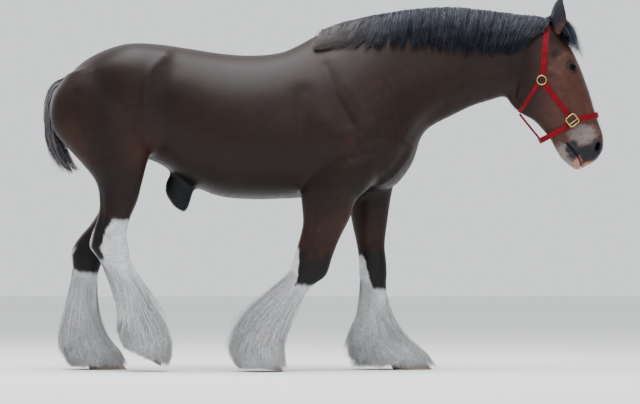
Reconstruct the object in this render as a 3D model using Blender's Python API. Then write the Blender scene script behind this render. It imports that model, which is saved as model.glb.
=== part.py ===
# A clydesdale horse, life size, standing on three hooves with the near hind lifted.
# X points the way the horse faces, Y to its left side and Z up. The floor is Z = 0.
# Every outline is read off the photograph at 182 pixels to the metre, and kept here in metres.

import math
import random
from collections import namedtuple

import bmesh
import bpy
import numpy as np
from mathutils import Matrix, Vector
from mathutils.bvhtree import BVHTree

# Driving dimensions, in metres
GAP = 0.0003
RIGHT = -1
LEFT = 1
EYE_RADIUS = 0.0245
EYE_DEPTH = 0.0135
LID_THICKNESS = 0.0045
EYE_PLACE = (1.354, 1.655)
LID_OPENING = (0.050, 0.034)
NOSTRIL_PLACE = (1.494, 1.224)
NOSTRIL_SIZE = (0.012, 0.011, 0.024)
MOUTH_CORNER = (1.338, 1.242)
MOUTH_FRONT = (1.412, 1.110)
MOUTH_GAP = 0.004
EAR_WIDTH = 0.033
EAR_DEPTH = 1.70
EAR_BASE = (1.270, 0.056, 1.835)
EAR_TIP = (1.312, 0.088, 2.054)
EAR_OPENING = (0.97, 0.16)
EAR_BOW = 0.013
EAR_RIM = (0.0045, 0.0020)
WEB_THICKNESS = 0.0035
WEB_CLEARANCE = 0.0030
RING_PLACE = (1.192, 1.587)
RING_RADIUS = 0.025
RING_WIRE = 0.0028
WIRE_SIDES = 6
SQUARE_PLACE = (1.360, 1.371)
SQUARE_RADIUS = 0.037
RING_LIFT = 0.0070
CORD_RADIUS = 0.006
CHIN_BACK = (1.186, 1.258)
CHIN_FRONT = (1.338, 1.336)
CHIN_HALF_WIDTH = 0.082
CHIN_WEB = 0.030

# Locks of hair: how many, how wide and how thick in the middle
MANE_LOCKS = 27
MANE_LOCK = (0.073, 0.008)
MANE_LAYERS = (0.010, 0.021)
MANE_FALL_SPREAD = 0.10
# By x along the crest: how far a lock slants back, and the height of the mane's lower edge
MANE_SLANT = ((0.0, 0.24, 0.32, 0.45, 0.60, 1.25), (0.07, 0.29, 0.25, 0.09, 0.04, 0.02))
MANE_EDGE = ((-0.07, 0.60, 0.78, 0.97, 1.14, 1.25), (1.745, 1.745, 1.712, 1.712, 1.738, 1.79))
MANE_START = 0.030
MANE_END = 1.175
FORELOCK_LOCKS = 5
FORELOCK_LOCK = (0.040, 0.009)
FORELOCK_ROOT = (1.262, 0.050, 1.900)
FORELOCK_TIP = (1.402, 0.090, 1.762)
# Along a lock: the part of its length and how far it stands off there
MANE_PATH = ((0.3, 0.995), (0.62, 0.883), (1.0, 0.75))
FORELOCK_PATH = ((0.0, -0.012), (0.3, 0.012), (0.65, 0.013), (1.0, 0.008))
FEATHER_PATH = ((0.0, 0.10), (0.28, 0.62), (0.62, 0.86), (1.0, 1.0))
TAIL_PATH = ((0.0, 0.0), (0.25, 0.75), (0.60, 1.0), (1.0, 0.92))
TAIL_ROOTS = (0.10, 0.40, 0.75)
TAIL_ENDS = (0.90, 0.96, 1.0)
DOCK_SHARE = 0.62
TAIL_LOCKS = 13
TAIL_LOCK = (0.064, 0.011)
FEATHER_LOCK = (0.118, 0.012)
FEATHER_LAYERS = (1.0, 0.84)
CORE_SHARE = 0.36
FLOOR_CLEARANCE = 0.006

# How finely the lofts are divided
TRUNK_SIDES = 20
MASS_SIDES = 12
HEAD_SIDES = 20
LEG_SIDES = 12
HOOF_SIDES = 14

# A section lies in the plane through its two ends and the Y axis. "widest" tells how far from the low end
# to the high end the section is widest, and the two powers make each half pointed (1.6) or square (3).
Section = namedtuple("Section", "high low half_width side widest high_power low_power")


def section(high, low, half_width, side=0.0, widest=0.5, high_power=2.0, low_power=2.0):
    return Section(high, low, half_width, side, widest, high_power, low_power)


# From the tail root along the back and the crest, with the belly, breast and throat below
TRUNK = [
    section((-1.420, 1.600), (-1.412, 1.450), 0.060),
    section((-1.382, 1.646), (-1.372, 1.360), 0.160, widest=0.55),
    section((-1.310, 1.706), (-1.290, 1.270), 0.245, widest=0.60, high_power=2.3),
    section((-1.200, 1.762), (-1.162, 1.212), 0.300, widest=0.62, high_power=2.5),
    section((-1.063, 1.799), (-1.036, 1.180), 0.325, widest=0.62, high_power=2.5),
    section((-0.915, 1.796), (-0.895, 1.125), 0.312, widest=0.58, high_power=2.4),
    section((-0.761, 1.776), (-0.765, 1.035), 0.310, widest=0.52, high_power=2.2),
    section((-0.569, 1.747), (-0.590, 0.956), 0.335, widest=0.48),
    section((-0.404, 1.735), (-0.404, 0.935), 0.350, widest=0.46),
    section((-0.239, 1.750), (-0.205, 0.939), 0.338, widest=0.46, low_power=2.1),
    section((-0.129, 1.798), (-0.030, 0.951), 0.318, widest=0.46, high_power=1.8, low_power=2.2),
    section((-0.063, 1.836), (0.190, 0.975), 0.305, widest=0.45, high_power=1.7, low_power=2.3),
    section((-0.008, 1.862), (0.376, 1.000), 0.295, widest=0.42, high_power=1.7, low_power=2.4),
    section((0.063, 1.893), (0.478, 1.112), 0.268, widest=0.40, high_power=1.7, low_power=2.3),
    section((0.200, 1.932), (0.516, 1.200), 0.225, widest=0.40, high_power=1.7, low_power=2.1),
    section((0.385, 1.968), (0.536, 1.266), 0.184, widest=0.42, high_power=1.8),
    section((0.585, 1.992), (0.585, 1.330), 0.155, widest=0.45, high_power=1.8),
    section((0.739, 1.994), (0.695, 1.388), 0.134, widest=0.47, high_power=1.9),
    section((0.890, 1.980), (0.820, 1.448), 0.118, widest=0.48),
    section((1.040, 1.960), (0.920, 1.480), 0.108, widest=0.50),
    section((1.185, 1.942), (0.997, 1.503), 0.104, widest=0.52),
]
NECK_BASE = 13

# From the poll and throat down to the lips: the face in front, the jaw behind
HEAD = [
    section((1.185, 1.942), (0.997, 1.503), 0.104, widest=0.52),
    section((1.278, 1.893), (1.017, 1.474), 0.116, widest=0.62, high_power=2.3, low_power=1.9),
    section((1.352, 1.778), (1.045, 1.438), 0.126, widest=0.70, high_power=2.6, low_power=1.8),
    section((1.398, 1.696), (1.094, 1.401), 0.130, widest=0.70, high_power=2.8, low_power=1.8),
    section((1.436, 1.607), (1.155, 1.366), 0.114, widest=0.62, high_power=2.7, low_power=1.8),
    section((1.468, 1.525), (1.204, 1.316), 0.095, widest=0.58, high_power=2.5, low_power=1.9),
    section((1.496, 1.442), (1.243, 1.270), 0.081, widest=0.56, high_power=2.4),
    section((1.518, 1.371), (1.271, 1.217), 0.072, widest=0.58, high_power=2.4),
    section((1.540, 1.290), (1.304, 1.165), 0.073, widest=0.62, high_power=2.4),
    section((1.540, 1.224), (1.348, 1.126), 0.069, widest=0.60, high_power=2.3),
    section((1.520, 1.178), (1.388, 1.102), 0.057, widest=0.56, high_power=2.2),
    section((1.488, 1.142), (1.424, 1.112), 0.032, widest=0.50),
]

# Each leg from inside the body down to the coronet: the front edge and the rear edge of every section
FORE_RIGHT = [
    section((0.300, 1.321), (-0.010, 1.230), 0.085, -0.165),
    section((0.330, 1.157), (-0.080, 1.080), 0.108, -0.180, high_power=2.2),
    section((0.270, 1.015), (-0.128, 0.985), 0.104, -0.180, high_power=2.2),
    section((0.182, 0.925), (-0.126, 0.925), 0.090, -0.178),
    section((0.146, 0.827), (-0.117, 0.816), 0.073, -0.176),
    section((0.091, 0.717), (-0.134, 0.728), 0.058, -0.175),
    section((0.052, 0.618), (-0.164, 0.629), 0.059, -0.175, high_power=2.4),
    section((0.014, 0.514), (-0.184, 0.556), 0.056, -0.176, high_power=2.4),
    section((-0.083, 0.446), (-0.178, 0.512), 0.047, -0.177),
    section((-0.164, 0.345), (-0.246, 0.403), 0.043, -0.178),
    section((-0.222, 0.236), (-0.352, 0.275), 0.057, -0.180),
    section((-0.262, 0.172), (-0.386, 0.168), 0.054, -0.181),
    section((-0.280, 0.118), (-0.440, 0.128), 0.079, -0.182),
]
FORE_LEFT = [
    section((0.400, 1.294), (0.080, 1.212), 0.085, 0.165),
    section((0.415, 1.129), (0.040, 1.074), 0.106, 0.180, high_power=2.2),
    section((0.392, 1.008), (0.085, 0.975), 0.100, 0.180, high_power=2.2),
    section((0.376, 0.925), (0.130, 0.925), 0.088, 0.178),
    section((0.360, 0.816), (0.155, 0.805), 0.070, 0.176),
    section((0.346, 0.690), (0.181, 0.684), 0.056, 0.175),
    section((0.354, 0.596), (0.192, 0.596), 0.059, 0.175, high_power=2.4),
    section((0.356, 0.508), (0.194, 0.508), 0.056, 0.175, high_power=2.4),
    section((0.345, 0.442), (0.212, 0.442), 0.046, 0.175),
    section((0.336, 0.354), (0.216, 0.354), 0.043, 0.175),
    section((0.362, 0.232), (0.212, 0.223), 0.057, 0.176),
    section((0.430, 0.160), (0.290, 0.128), 0.055, 0.178),
    section((0.500, 0.110), (0.330, 0.078), 0.080, 0.180),
]
HIND_RIGHT = [
    section((-1.091, 1.695), (-1.400, 1.625), 0.100, -0.150),
    section((-0.975, 1.560), (-1.480, 1.510), 0.136, -0.165, high_power=2.2),
    section((-0.936, 1.387), (-1.495, 1.404), 0.146, -0.172, high_power=2.2),
    section((-0.930, 1.256), (-1.464, 1.289), 0.136, -0.172, high_power=2.2),
    section((-0.950, 1.140), (-1.332, 1.140), 0.112, -0.172),
    section((-0.978, 1.025), (-1.245, 1.030), 0.088, -0.172),
    section((-1.004, 0.926), (-1.223, 0.926), 0.071, -0.172),
    section((-1.047, 0.827), (-1.231, 0.838), 0.059, -0.172),
    section((-1.063, 0.739), (-1.262, 0.752), 0.055, -0.172),
    section((-1.052, 0.668), (-1.276, 0.676), 0.058, -0.172, high_power=2.3),
    section((-1.042, 0.598), (-1.226, 0.607), 0.055, -0.172, high_power=2.3),
    section((-1.012, 0.530), (-1.160, 0.500), 0.047, -0.172),
    section((-1.010, 0.452), (-1.106, 0.405), 0.043, -0.172),
    section((-0.920, 0.308), (-1.042, 0.262), 0.057, -0.172),
    section((-0.905, 0.222), (-1.022, 0.222), 0.055, -0.172),
    section((-0.885, 0.140), (-1.052, 0.190), 0.078, -0.172),
]
HIND_LEFT = [
    section((-1.091, 1.695), (-1.400, 1.625), 0.100, 0.150),
    section((-0.975, 1.560), (-1.480, 1.510), 0.136, 0.165, high_power=2.2),
    section((-0.936, 1.387), (-1.495, 1.404), 0.146, 0.172, high_power=2.2),
    section((-0.935, 1.256), (-1.464, 1.289), 0.136, 0.172, high_power=2.2),
    section((-0.975, 1.140), (-1.330, 1.140), 0.112, 0.172),
    section((-1.020, 1.000), (-1.250, 1.045), 0.088, 0.172),
    section((-1.063, 0.862), (-1.236, 0.925), 0.071, 0.174),
    section((-1.129, 0.762), (-1.294, 0.815), 0.059, 0.175),
    section((-1.184, 0.680), (-1.360, 0.738), 0.055, 0.176),
    section((-1.217, 0.612), (-1.406, 0.658), 0.058, 0.176, high_power=2.3),
    section((-1.239, 0.556), (-1.400, 0.580), 0.055, 0.176, high_power=2.3),
    section((-1.262, 0.492), (-1.390, 0.506), 0.047, 0.177),
    section((-1.280, 0.404), (-1.374, 0.412), 0.043, 0.178),
    section((-1.260, 0.262), (-1.390, 0.246), 0.057, 0.179),
    section((-1.222, 0.180), (-1.340, 0.152), 0.055, 0.180),
    section((-1.172, 0.116), (-1.330, 0.088), 0.078, 0.181),
]

# The soles: toe and heel of each hoof, with its half width
SOLES = {
    "fore_right": section((-0.216, 0.0), (-0.424, 0.036), 0.098, -0.182, 0.45),
    "fore_left": section((0.604, 0.0), (0.388, 0.0), 0.100, 0.180, 0.45),
    "hind_right": section((-0.880, 0.030), (-1.056, 0.138), 0.094, -0.172, 0.45),
    "hind_left": section((-1.092, 0.0), (-1.300, 0.0), 0.095, 0.181, 0.45),
}
LEGS = {
    "fore_right": (FORE_RIGHT, 3, 7),
    "fore_left": (FORE_LEFT, 3, 7),
    "hind_right": (HIND_RIGHT, 4, 10),
    "hind_left": (HIND_LEFT, 4, 10),
}

TAIL = [
    section((-1.400, 1.640), (-1.420, 1.560), 0.035),
    section((-1.455, 1.612), (-1.440, 1.530), 0.045),
    section((-1.505, 1.560), (-1.440, 1.500), 0.060),
    section((-1.530, 1.470), (-1.440, 1.450), 0.078),
    section((-1.536, 1.370), (-1.440, 1.370), 0.084),
    section((-1.528, 1.270), (-1.430, 1.280), 0.080),
    section((-1.500, 1.170), (-1.388, 1.190), 0.068),
    section((-1.440, 1.066), (-1.325, 1.105), 0.048),
]


# Materials

def material(name, color, roughness, metallic=0.0):
    shade = bpy.data.materials.new(name)
    shade.use_nodes = True
    shader = shade.node_tree.nodes["Principled BSDF"]
    shader.inputs["Base Color"].default_value = (*color, 1.0)
    shader.inputs["Roughness"].default_value = roughness
    shader.inputs["Metallic"].default_value = metallic
    shade.diffuse_color = (*color, 1.0)
    return shade


def make_materials():
    return {
        "coat": material("bay coat", (0.090, 0.030, 0.016), 0.45),
        "points": material("black coat", (0.018, 0.015, 0.014), 0.5),
        "feather": material("white feather hair", (0.74, 0.71, 0.66), 0.7),
        "tail": material("grey black tail hair", (0.10, 0.095, 0.10), 0.6),
        "horn": material("pale hoof horn", (0.42, 0.32, 0.26), 0.5),
        "eye": material("dark eye", (0.015, 0.010, 0.008), 0.08),
        "web": material("red nylon web", (0.38, 0.018, 0.014), 0.65),
        "brass": material("brass fitting", (0.72, 0.52, 0.22), 0.3, 1.0),
    }


# Meshes from sections

def row_of(one):
    return np.array([*one.high, *one.low, *one[2:]])


def refined(sections, per_span):
    """Rows of numbers between the given sections, along smooth curves through all of them."""
    keys = np.array([row_of(one) for one in sections])
    padded = np.vstack([2 * keys[0] - keys[1], keys, 2 * keys[-1] - keys[-2]])
    rows = []
    for i in range(len(keys) - 1):
        a, b, c, d = padded[i:i + 4]
        for step in range(per_span):
            t = step / per_span
            rows.append(0.5 * (2 * b + (c - a) * t + (2 * a - 5 * b + 4 * c - d) * t**2
                               + (3 * b - a - 3 * c + d) * t**3))
    rows.append(keys[-1])
    return np.array(rows)


def ring(row, sides):
    """The points round one section, from its high end over the left side."""
    high = np.array([row[0], row[5], row[1]])
    low = np.array([row[2], row[5], row[3]])
    centre = low + (high - low) * row[6]
    angle = np.arange(sides) * 2 * math.pi / sides
    up, out = np.cos(angle), np.sin(angle)
    power = 2 / np.where(up >= -1e-9, row[7], row[8])
    along = np.sign(up) * np.abs(up) ** power
    across = np.sign(out) * np.abs(out) ** power
    reach = np.where(along[:, None] >= 0, high - centre, centre - low)
    points = centre + along[:, None] * reach
    points[:, 1] += across * row[4]
    return points


def plane_normal(row):
    """Across a section's plane, towards the higher numbered sections of a body that faces +X."""
    along = Vector((row[0] - row[2], 0, row[1] - row[3])).normalized()
    return Vector((along.z, 0, -along.x))


def add_object(name, mesh, shade):
    thing = bpy.data.objects.new(name, mesh)
    bpy.data.collections["Clydesdale"].objects.link(thing)
    mesh.materials.clear()
    mesh.materials.append(shade)
    return thing


def mesh_from_rings(name, rings):
    """A closed skin over the rings, in order, with a flat end on the first and the last."""
    bm = bmesh.new()
    loops = [[bm.verts.new(p) for p in points] for points in rings]
    for one, other in zip(loops, loops[1:]):
        count = len(one)
        for i in range(count):
            j = (i + 1) % count
            bm.faces.new((one[i], one[j], other[j], other[i]))
    bm.faces.new(loops[0])
    bm.faces.new(loops[-1])
    bmesh.ops.triangulate(bm, faces=bm.faces)
    bmesh.ops.recalc_face_normals(bm, faces=bm.faces)
    mesh = bpy.data.meshes.new(name)
    bm.to_mesh(mesh)
    bm.free()
    return mesh


def loft(name, rows, sides, shade):
    return add_object(name, mesh_from_rings(name, [ring(row, sides) for row in rows]), shade)


# Booleans

def evaluated_mesh(thing):
    graph = bpy.context.evaluated_depsgraph_get()
    mesh = bpy.data.meshes.new_from_object(thing.evaluated_get(graph))
    mesh.transform(thing.matrix_world)
    return mesh


def largest_surface(mesh):
    """Drop every loose piece but the one with the most volume."""
    bm = bmesh.new()
    bm.from_mesh(mesh)
    flat = math.radians(0.1)
    bmesh.ops.dissolve_limit(bm, angle_limit=flat, verts=bm.verts, edges=bm.edges)
    bmesh.ops.triangulate(bm, faces=bm.faces)
    left = set(bm.verts)
    groups = []
    while left:
        group, front = set(), [left.pop()]
        while front:
            vertex = front.pop()
            group.add(vertex)
            for edge in vertex.link_edges:
                other = edge.other_vert(vertex)
                if other in left:
                    left.remove(other)
                    front.append(other)
        groups.append(group)

    def box(group):
        places = np.array([v.co for v in group])
        return np.prod(np.ptp(places, axis=0))

    keep = max(groups, key=box)
    bmesh.ops.delete(bm, geom=[v for v in bm.verts if v not in keep], context="VERTS")
    bm.to_mesh(mesh)
    bm.free()


def combine(thing, others, operation, solver="EXACT"):
    """Join the others to the thing, or cut them out of it, with one Boolean on a collection."""
    group = bpy.data.collections.new("cutters")
    bpy.context.scene.collection.children.link(group)
    for other in others:
        for home in list(other.users_collection):
            home.objects.unlink(other)
        group.objects.link(other)
    modifier = thing.modifiers.new("combine", "BOOLEAN")
    modifier.operand_type = "COLLECTION"
    modifier.collection = group
    modifier.operation = operation
    modifier.solver = solver
    mesh = evaluated_mesh(thing)
    thing.modifiers.clear()
    shade = thing.data.materials[0]
    thing.data = mesh
    mesh.materials.clear()
    mesh.materials.append(shade)
    largest_surface(mesh)
    for other in others:
        bpy.data.objects.remove(other)
    bpy.data.collections.remove(group)


def swollen(thing, amount):
    """A copy of the thing, its surface moved outwards by the amount."""
    copy = bpy.data.objects.new(thing.name + " swollen", thing.data.copy())
    bpy.context.scene.collection.objects.link(copy)
    count = len(copy.data.vertices)
    places, normals = np.empty(count * 3), np.empty(count * 3)
    copy.data.vertices.foreach_get("co", places)
    copy.data.vertex_normals.foreach_get("vector", normals)
    copy.data.vertices.foreach_set("co", places + normals * amount)
    copy.data.update()
    return copy


def clear_of(thing, others, amount=2 * GAP):
    combine(thing, [swollen(other, amount) for other in others], "DIFFERENCE")


def ellipsoid(name, radii, place, turn=None, segments=10, rings=6):
    bm = bmesh.new()
    bmesh.ops.create_uvsphere(bm, u_segments=segments, v_segments=rings, radius=1.0)
    size = Matrix.Diagonal((*radii, 1.0))
    bm.transform(Matrix.Translation(place) @ (turn or Matrix()) @ size)
    bmesh.ops.triangulate(bm, faces=bm.faces)
    mesh = bpy.data.meshes.new(name)
    bm.to_mesh(mesh)
    bm.free()
    thing = bpy.data.objects.new(name, mesh)
    bpy.context.scene.collection.objects.link(thing)
    return thing


def prism(name, outline, direction, start, end):
    """A flat outline of points, swept from start to end along a direction."""
    direction = Vector(direction).normalized()
    rings = [[Vector(p) + direction * reach for p in outline] for reach in (start, end)]
    thing = bpy.data.objects.new(name, mesh_from_rings(name, rings))
    bpy.context.scene.collection.objects.link(thing)
    return thing


# The body

def make_torso(shades):
    rows = refined(TRUNK[:NECK_BASE + 1], 2)
    torso = loft("torso", rows, TRUNK_SIDES, shades["coat"])
    masses = []
    for name, (sections, cut, _) in LEGS.items():
        rows = refined(sections[:cut + 1], 1)
        masses.append(loft(name + " mass", rows, MASS_SIDES, shades["coat"]))
    masses.append(make_sheath(shades))
    combine(torso, masses, "UNION")
    return torso


def make_sheath(shades):
    sections = [
        section((-0.700, 1.020), (-0.760, 1.110), 0.030, widest=0.4),
        section((-0.720, 0.940), (-0.850, 1.080), 0.048, widest=0.4),
        section((-0.745, 0.880), (-0.880, 0.990), 0.050, widest=0.5),
        section((-0.768, 0.864), (-0.830, 0.900), 0.030, widest=0.5),
    ]
    return loft("sheath", refined(sections, 2), 10, shades["points"])


def make_neck(shades):
    rows = refined(TRUNK, 2)[2 * NECK_BASE:]
    rings = [ring(row, TRUNK_SIDES) for row in rows]
    rings[0] = rings[0] + GAP * np.array(plane_normal(rows[0]))
    rings[-1] = rings[-1] - GAP * np.array(plane_normal(rows[-1]))
    return add_object("neck", mesh_from_rings("neck", rings), shades["coat"])


# Legs and hooves

# The hem that the feather reaches, from under the knee or hock down to the floor: its front and rear edge
HEMS = {
    "fore_right": [
        section((-0.125, 0.400), (-0.330, 0.430), 0.072, -0.177),
        section((-0.150, 0.290), (-0.490, 0.300), 0.105, -0.180),
        section((-0.190, 0.180), (-0.545, 0.165), 0.130, -0.181),
        section((-0.198, 0.090), (-0.515, 0.070), 0.138, -0.182),
        section((-0.196, 0.010), (-0.455, 0.010), 0.130, -0.182),
    ],
    "fore_left": [
        section((0.370, 0.380), (0.182, 0.360), 0.072, 0.175),
        section((0.414, 0.277), (0.170, 0.270), 0.105, 0.176),
        section((0.503, 0.168), (0.115, 0.150), 0.130, 0.178),
        section((0.590, 0.085), (0.112, 0.070), 0.138, 0.180),
        section((0.632, 0.012), (0.160, 0.010), 0.132, 0.180),
    ],
    "hind_right": [
        section((-0.930, 0.430), (-1.120, 0.390), 0.072, -0.172),
        section((-0.850, 0.330), (-1.115, 0.290), 0.105, -0.172),
        section((-0.825, 0.230), (-1.132, 0.230), 0.130, -0.172),
        section((-0.806, 0.130), (-1.118, 0.190), 0.130, -0.172),
        section((-0.840, 0.020), (-1.090, 0.120), 0.122, -0.172),
    ],
    "hind_left": [
        section((-1.250, 0.400), (-1.420, 0.390), 0.072, 0.178),
        section((-1.225, 0.260), (-1.470, 0.240), 0.105, 0.179),
        section((-1.170, 0.160), (-1.485, 0.150), 0.130, 0.180),
        section((-1.110, 0.085), (-1.460, 0.070), 0.138, 0.181),
        section((-1.085, 0.014), (-1.410, 0.010), 0.125, 0.181),
    ],
}
# Tiers of feather: where they are rooted and where they end between the knee and the hem, how many locks,
# and how far they go round the leg from its rear, as a part of the whole way
FEATHER_TIERS = [(0.16, 0.50, 3, 0.40), (0.34, 0.72, 4, 0.75), (0.56, 0.90, 5, 1.0), (0.76, 1.0, 7, 1.0)]


def make_legs(shades):
    for name, (sections, cut, knee) in LEGS.items():
        rows = refined(sections[cut:knee + 1], 1)
        rings = [ring(row, LEG_SIDES) for row in rows]
        rings[0] = rings[0] + np.array((0, 0, -GAP))
        add_object("leg_" + name + "_upper", mesh_from_rings(name, rings), shades["coat"])
        hoof = make_hoof(name, sections[-1], shades)
        lower = make_lower_leg(name, sections[knee:], shades)
        clear_of(lower, [hoof])


def make_lower_leg(name, sections, shades):
    """The cannon and pastern, with the feather's locks rooted in them down to the coronet."""
    bone = refined(sections, 8)
    hem = np.vstack([bone[:1], refined(HEMS[name], 8)])
    angles = [2 * math.pi * i / LEG_SIDES for i in range(LEG_SIDES)]
    rings = []
    for level in np.linspace(0, 1, len(sections) + 1):
        inner = np.array([on_rows(bone, level, angle) for angle in angles])
        outer = np.array([on_rows(hem, level, angle) for angle in angles])
        rings.append(inner + (outer - inner) * CORE_SHARE)
    rings[0] = rings[0] + np.array((0, 0, -2 * GAP))
    lower = add_object("leg_" + name + "_lower", mesh_from_rings(name, rings), shades["feather"])
    rng = random.Random(name)
    locks = []
    for root, end, count, sweep in FEATHER_TIERS:
        for i in range(count):
            turn = (i + 0.5 + rng.uniform(-0.2, 0.2)) / count - 0.5
            angle = math.pi + 2 * math.pi * turn * sweep
            start = root + rng.uniform(-0.03, 0.03)
            stop = min(1.0, end + rng.uniform(-0.06, 0.06))
            points, outs = [], []
            for f, lift in FEATHER_PATH:
                level = start + (stop - start) * f
                inside = on_rows(bone, min(1.0, level * 1.12), angle)
                outside = on_rows(hem, level, angle)
                middle = on_rows(bone, min(1.0, level * 1.12), None)
                place = inside + (outside - inside) * lift * FEATHER_LAYERS[i % 2]
                out = place - middle
                out[2] = 0.0
                out = out / max(1e-6, np.linalg.norm(out))
                place[2] = max(place[2], FLOOR_CLEARANCE + 0.004 * (1.0 - f))
                points.append(place)
                outs.append(out)
            width = FEATHER_LOCK[0] * (0.55 + 0.45 * start / 0.76) * rng.uniform(0.85, 1.15)
            locks.append(lock(points, outs, width, FEATHER_LOCK[1], shades["feather"]))
    combine(lower, locks, "UNION")
    return lower


def make_hoof(name, coronet, shades):
    """A wall that widens from the coronet to a flat sole."""
    top = ring(row_of(coronet), HOOF_SIDES)
    bottom = ring(row_of(SOLES[name]), HOOF_SIDES)
    drop = 0.004 * (bottom.mean(axis=0) - top.mean(axis=0))
    rings = [top + drop, 0.5 * (top + bottom), 0.06 * top + 0.94 * bottom]
    centre = bottom.mean(axis=0)
    rings.append(centre + (bottom - centre) * 0.97)
    return add_object("hoof_" + name, mesh_from_rings(name, rings), shades["horn"])


# The head

def surface_point(tree, x, z, side):
    """Where a line across the head at x and z meets its side, with the way the skin faces there."""
    place, normal, _, _ = tree.ray_cast(Vector((x, side * 0.5, z)), Vector((0, -side, 0)))
    return place, normal


def tree_of(thing):
    return BVHTree.FromObject(thing, bpy.context.evaluated_depsgraph_get())


def guide_tree(lofts):
    """A tree for casting lines onto several lofts at once."""
    corners, faces = [], []
    for rows, sides in lofts:
        mesh = mesh_from_rings("guide", [ring(row, sides) for row in rows])
        first = len(corners)
        corners += [v.co.copy() for v in mesh.vertices]
        faces += [[first + i for i in face.vertices] for face in mesh.polygons]
        bpy.data.meshes.remove(mesh)
    return BVHTree.FromPolygons(corners, faces)


def eye_frame(tree, side):
    place, normal = surface_point(tree, *EYE_PLACE, side)
    normal = (normal + Vector((0.15, side * 0.8, 0.05))).normalized()
    along = Vector((0.80, 0.0, -0.60))
    along = (along - along.dot(normal) * normal).normalized()
    return place - normal * EYE_DEPTH, normal, along, normal.cross(along)


def lid_opening(centre, along, up):
    """An almond, higher over its middle than it is low under it."""
    points = []
    count = 8
    for i in range(2 * count):
        t = i / count
        lower = t >= 1
        s = -math.cos(math.pi * (t % 1)) * (-1 if lower else 1)
        height = (1 - s * s) * LID_OPENING[1] / 2 * (-0.9 if lower else 1.1)
        points.append(centre + along * s * LID_OPENING[0] / 2 + up * height)
    return points


def make_head(shades):
    rows = refined(HEAD, 2)
    head = loft("head", rows, HEAD_SIDES, shades["coat"])
    plain = tree_of(head)
    inner = rows[-13:-1].copy()
    middle = inner[:, 2:4] + (inner[:, 0:2] - inner[:, 2:4]) * 0.5
    inner[:, 0:2] = middle + (inner[:, 0:2] - middle) * 0.84
    inner[:, 2:4] = middle + (inner[:, 2:4] - middle) * 0.84
    inner[:, 4] *= 0.84
    lids, balls, openings, wings, nostrils = [], [], [], [], []
    for side in (RIGHT, LEFT):
        centre, out, along, up = eye_frame(plain, side)
        up = up if up.z > 0 else -up
        radii = (EYE_RADIUS + LID_THICKNESS,) * 3
        lids.append(ellipsoid("lid", radii, centre))
        radii = (EYE_RADIUS + GAP,) * 3
        balls.append(ellipsoid("socket", radii, centre, segments=12, rings=7))
        almond = lid_opening(centre, along, up)
        openings.append(prism("opening", almond, out, EYE_RADIUS * 0.5, EYE_RADIUS * 2))
        eye = ellipsoid("eye", (EYE_RADIUS,) * 3, centre, segments=12, rings=7)
        add_object("eye_" + ("right" if side == RIGHT else "left"), eye.data, shades["eye"])
        bpy.data.objects.remove(eye)
        place, _ = surface_point(plain, *NOSTRIL_PLACE, side)
        turn = Matrix.Rotation(math.radians(18 * side), 4, "Z") @ Matrix.Rotation(0.35, 4, "Y")
        wing = [1.7 * size for size in NOSTRIL_SIZE]
        wing[1] = NOSTRIL_SIZE[1]
        wings.append(ellipsoid("wing", wing, place, turn))
        nostrils.append(ellipsoid("nostril", NOSTRIL_SIZE, place + Vector((0, side * 0.008, 0)), turn))
    combine(head, [*lids, *wings], "UNION")
    way = Vector((MOUTH_FRONT[0] - MOUTH_CORNER[0], 0, MOUTH_FRONT[1] - MOUTH_CORNER[1]))
    across = Vector((-way.z, 0, way.x)).normalized() * MOUTH_GAP / 2
    corner = Vector((MOUTH_CORNER[0], 0, MOUTH_CORNER[1]))
    slit = [corner, corner + across + way * 0.1, corner + across + way * 1.2,
            corner - across + way * 1.2, corner - across + way * 0.1]
    mouth = prism("mouth", slit, (0, 1, 0), -0.2, 0.2)
    combine(head, [mouth], "DIFFERENCE")
    core = loft("core", inner, HEAD_SIDES, shades["coat"])
    combine(head, [core], "UNION")
    combine(head, [*balls, *openings, *nostrils], "DIFFERENCE")
    return head


EAR_PARTS = 7
EAR_ARC = 5


def make_ear(side, head, shades):
    """A leaf rolled into a cup that is open forwards, deeper than it is wide, its rim 2 to 4.5 mm thick."""
    base = Vector((EAR_BASE[0], side * EAR_BASE[1], EAR_BASE[2]))
    tip = Vector((EAR_TIP[0], side * EAR_TIP[1], EAR_TIP[2]))
    axis = (tip - base).normalized()
    opening = Vector((EAR_OPENING[0], side * EAR_OPENING[1], 0.0))
    opening = (opening - opening.dot(axis) * axis).normalized()
    sideways = axis.cross(opening)
    rings = []
    for i in range(EAR_PARTS + 1):
        t = i / EAR_PARTS
        width = EAR_WIDTH * (0.50 + 0.58 * math.sin(math.pi * min(1, t * 1.05 + 0.02))) * (1 - t**5) + 0.002
        spread = math.radians(150 - 75 * t)
        depth = width * EAR_DEPTH * (1 - 0.45 * t)
        thick = EAR_RIM[0] + (EAR_RIM[1] - EAR_RIM[0]) * t
        centre = base + (tip - base) * t + opening * EAR_BOW * math.sin(math.pi * t)
        outer, inner = [], []
        for j in range(EAR_ARC + 1):
            turn = -spread + 2 * spread * j / EAR_ARC
            way = -opening * math.cos(turn), sideways * math.sin(turn)
            outer.append(centre + way[0] * depth + way[1] * width)
            inner.append(centre + way[0] * (depth - thick) + way[1] * (width - thick))
        rings.append(outer + inner[::-1])
    name = "ear_" + ("right" if side == RIGHT else "left")
    ear = add_object(name, mesh_from_rings(name, rings), shades["points"])
    clear_of(ear, [head])
    return ear


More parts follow.
